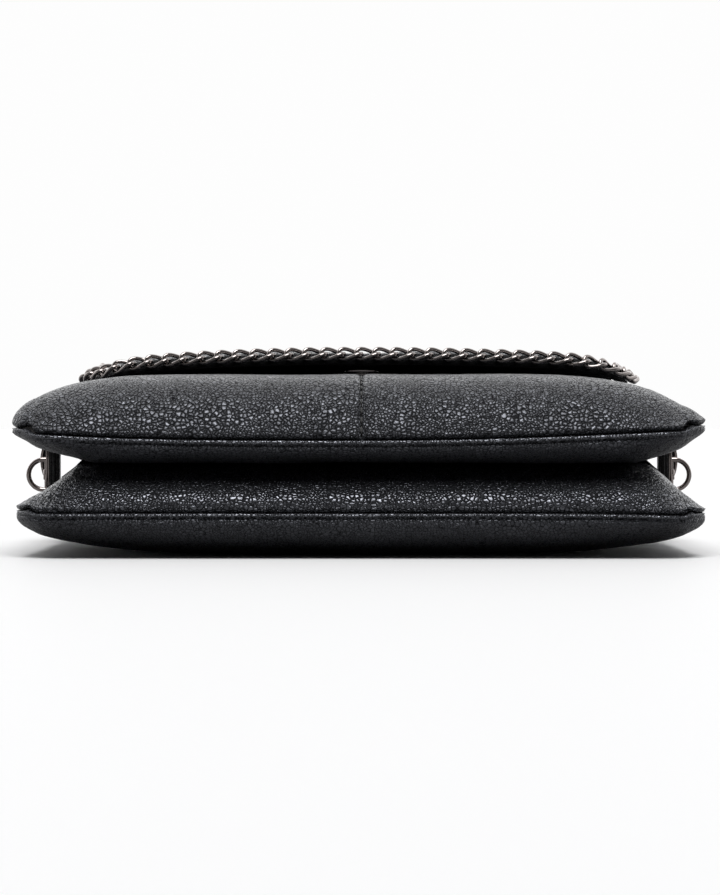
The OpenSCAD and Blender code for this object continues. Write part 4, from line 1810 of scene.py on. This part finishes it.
@dataclass
class Keeper:
    """The plated keeper on a tab: plate with a rib, a bow behind the ring and the knuckle for its bar."""

    side: int
    word: str
    foot_x: float = 141.1
    plate_t: float = 0.6
    near_y: float = 41.75
    plate_w: float = 20.0
    middle_z: float = 36.2
    half_l: float = 10.0
    rib_w: float = 2.6
    rib_t: float = 1.5
    bow_w: float = 2.6
    bow_t: float = 1.25
    bow_rise: float = 6.4
    bow_foot: float = 3.4
    bow_z: float = 37.8
    bow_half: float = 9.8
    bar_x: float = 142.9
    bar_y: float = 48.35
    bar_z: float = 31.4
    knuckle_r: tuple[float, float] = (1.08, 1.68)
    knuckle_l: float = 4.6

    def strip(
        self, name: str, y: float, width: float, ends: tuple[float, float],
        rise: Callable[[float], float], thick: float,
    ) -> bpy.types.Object:
        """A strip of metal that runs up the keeper.

        Args:
            name: The piece's name.
            y: Where it starts along the bag.
            width: Its width.
            ends: Height of its middle and half its length.
            rise: Its height over the tab for a share from -1 at its lower end to 1.
            thick: Its thickness.

        Returns:
            The strip's object.
        """

        def place(u: float, v: float) -> Vector:
            """A point of the strip's outer face.

            Args:
                u: Share across.
                v: Share along.

            Returns:
                The point.
            """
            w = 2 * v - 1
            slim = 1 - 0.35 * abs(w) ** 6
            x, z = self.side * (self.foot_x + rise(w)), ends[0] + ends[1] * w
            return Vector((x, y + width * (0.5 + (u - 0.5) * slim), z))

        return sheet(name, (4, 40), place, Vector((self.side, 0, 0)), thick, -1.0, 0.3)

    def pad(self, name: str, y: float, width: float, height: float) -> bpy.types.Object:
        """The leather loop between the plate and the bow, a closed lens.

        Args:
            name: The piece's name.
            y: Where it starts along the bag.
            width: Its width.
            height: Its height over the plate in the middle.

        Returns:
            The loop's object.
        """
        foot = self.foot_x + self.plate_t + 0.05

        def place(u: float, v: float) -> Vector:
            """A point of the loop's outer face.

            Args:
                u: Share across.
                v: Share along.

            Returns:
                The point.
            """
            w = 2 * v - 1
            x = foot + height * (0.45 + 0.55 * max(0.0, 1 - w * w) ** 0.8)
            return Vector((self.side * x, y + width * u, self.bow_z + self.bow_half * 0.97 * w))

        bm = grid_mesh(3, 40, place)
        rim = [e for e in bm.edges if e.is_boundary]
        made = bmesh.ops.extrude_edge_only(bm, edges=rim)["geom"]
        for v in (g for g in made if isinstance(g, bmesh.types.BMVert)):
            v.co.x = self.side * foot
        bmesh.ops.holes_fill(bm, edges=[e for e in bm.edges if e.is_boundary], sides=0)
        return finish_mesh(bm, name)

    def knuckle(self, name: str) -> bpy.types.Object:
        """The tube round the ring's bar with its foot on the plate.

        Args:
            name: The piece's name.

        Returns:
            The tube's object.
        """
        inner, outer = self.knuckle_r
        half = self.knuckle_l / 2
        profile = (
            (inner, -half), (outer - 0.15, -half), (outer, 0.15 - half),
            (outer, half - 0.15), (outer - 0.15, half), (inner, half),
        )
        return lathe(name, profile, (self.side * self.bar_x, self.bar_y, self.bar_z), 40)

    def build(self) -> None:
        """Makes the keeper's parts."""
        name = f"ring_keeper_{self.word}"
        far_y = self.near_y + self.plate_w - self.bow_w

        def bow(w: float) -> float:
            """Height of the bow's outer face, flat where it meets the plate."""
            return self.bow_foot + (self.bow_rise - self.bow_foot) * max(0.0, 1 - w * w) ** 0.8

        def rib(w: float) -> float:
            """Height of the rib's outer face, which leans out to its lower end."""
            return self.rib_t + 0.6 * max(0.0, -w) ** 2

        ends = (self.middle_z, self.half_l)
        near, thick = self.near_y, self.plate_t
        plate = self.strip(f"{name}_plate", near, self.plate_w, ends, lambda w: thick, thick)
        dress(plate, Look.RING, "bag", name)
        edge = self.strip(f"{name}_rib", near, self.rib_w, ends, rib, self.rib_t - thick)
        dress(edge, Look.RING, "bag")
        ends = (self.bow_z, self.bow_half)
        dress(self.strip(f"{name}_bow", far_y, self.bow_w, ends, bow, self.bow_t), Look.RING, "bag")
        room = self.bow_rise - self.bow_t - thick + 0.25
        # The loop takes the near-black leather: partly its own black leather, partly painted shade in the
        # recess under the bow.
        dress(self.pad(f"{name}_loop", far_y + 0.2, self.bow_w - 0.4, room), Look.SHADE_LEATHER, "bag")
        dress(self.knuckle(f"{name}_knuckle"), Look.RING, "bag")


@dataclass
class Hardware:
    """The source's own metal nodes, which keep their shape."""

    nodes: dict[str, bpy.types.Object]

    def build(self) -> None:
        """Gives each node its finish."""
        for look, members in (
            (Look.RING, ("d_ring_left", "d_ring_right")),
            (Look.SNAP, ("keeper_rivets_left", "keeper_rivets_right", "snap_backing_plate")),
            (Look.MAGNET, ("snap_magnet",)),
        ):
            for name in members:
                paint(self.nodes[name], look)


@dataclass(frozen=True)
class Studio:
    """Floor, light and camera."""

    front_y: float = -87.25
    distance: float = 950.0
    camera_x: float = 0.5
    camera_z: float = 53.3
    pitch: float = 0.5
    lens: float = 95.3
    sun: float = 2.75
    sun_size: float = 38.0
    sun_tilt: float = 25.0
    sky: float = 0.32
    white: float = 0.985
    shade: float = 0.12
    back: float = 1.6
    floor_white: tuple[float, ...] = (0.93, 0.93, 0.935, 1.0)
    floor_grey: tuple[float, ...] = (0.42, 0.42, 0.42, 1.0)

    def camera(self) -> None:
        """The camera at the photograph's place."""
        data = bpy.data.cameras.new("camera")
        data.sensor_fit = "VERTICAL"
        data.sensor_height = 36.0
        data.lens = self.lens
        data.clip_start = 0.01
        camera = bpy.data.objects.new("camera", data)
        camera.location = (self.camera_x * MM, (self.front_y - self.distance) * MM, self.camera_z * MM)
        camera.rotation_euler = (math.radians(90 - self.pitch), 0, 0)
        bpy.context.scene.collection.objects.link(camera)
        bpy.context.scene.camera = camera

    def floor(self) -> None:
        """A wide floor: white to the camera, grey in reflections."""
        bm = bmesh.new()
        bmesh.ops.create_grid(bm, x_segments=1, y_segments=1, size=60000)
        floor = finish_mesh(bm, "floor", UP)
        floor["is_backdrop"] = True
        material = bpy.data.materials.new("floor_white")
        material.use_nodes = True
        surface = material.node_tree.nodes["Principled BSDF"]
        s = Shader(material.node_tree)
        glossy = s.add("ShaderNodeLightPath").outputs["Is Glossy Ray"]
        tone = s.blend(glossy, self.floor_white, self.floor_grey)
        s.put(surface, {"Base Color": tone, "Roughness": 0.6, "Specular IOR Level": 0.2})
        floor.data.materials.append(material)

    def light(self) -> None:
        """A broad overhead lamp and a white room that is dark behind the camera."""
        data = bpy.data.lights.new("overhead", "SUN")
        data.energy = self.sun
        data.angle = math.radians(self.sun_size)
        lamp = bpy.data.objects.new("overhead", data)
        lamp.rotation_euler = (math.radians(self.sun_tilt), 0, 0)
        bpy.context.scene.collection.objects.link(lamp)
        world = bpy.data.worlds.new("room")
        world.use_nodes = True
        bpy.context.scene.world = world
        s = Shader(world.node_tree)
        background = world.node_tree.nodes["Background"]
        ray = s.add("ShaderNodeLightPath")
        direction = s.add("ShaderNodeTexCoord").outputs["Generated"]
        parts = s.add("ShaderNodeSeparateXYZ", {0: direction})
        front = s.math("MULTIPLY", parts.outputs["Y"], -1.0)
        dark = s.ramp(front, -0.02, 0.45, 0.0, 1.0)
        room = s.math("ADD", self.shade, s.math("MULTIPLY", s.math("SUBTRACT", 1.0, dark), 1.0 - self.shade))
        soft = s.math("MULTIPLY", room, self.sky)
        lit = s.math("MULTIPLY", room, s.ramp(parts.outputs["Y"], 0.1, 0.8, 1.0, self.back))
        glossy = s.mix(ray.outputs["Is Glossy Ray"], soft, lit)
        seen = s.math("MAXIMUM", ray.outputs["Is Camera Ray"], ray.outputs["Is Transmission Ray"])
        s.put(background, {"Strength": s.mix(seen, glossy, self.white), "Color": (1, 1, 1, 1)})

    def build(self) -> None:
        """Sets the stage."""
        self.camera()
        self.floor()
        self.light()
        bpy.context.scene.view_settings.view_transform = "Standard"


def main(frame: dict[str, object], cad_box: tuple[Vector, Vector]) -> None:
    """Builds the bag and its stage.

    Args:
        frame: The loaded frame.
        cad_box: The solids' box, not used.
    """
    bag = BagShape()
    flap = FlapShape(bag)
    Studio(bag.low_y).build()
    Pouches(bag).build()
    Flap(flap).build()
    Chain(ChainPath(flap)).build()
    SnapDiscs(flap).build()
    for side, word in SIDES:
        SideTab(bag, side, word).build()
        Keeper(side, word).build()
    Hardware(frame["nodes"]).build()


if __name__ == "__main__":
    logging.basicConfig(level=logging.INFO, format="%(name)s: %(message)s")
    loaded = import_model()
    main(loaded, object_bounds())
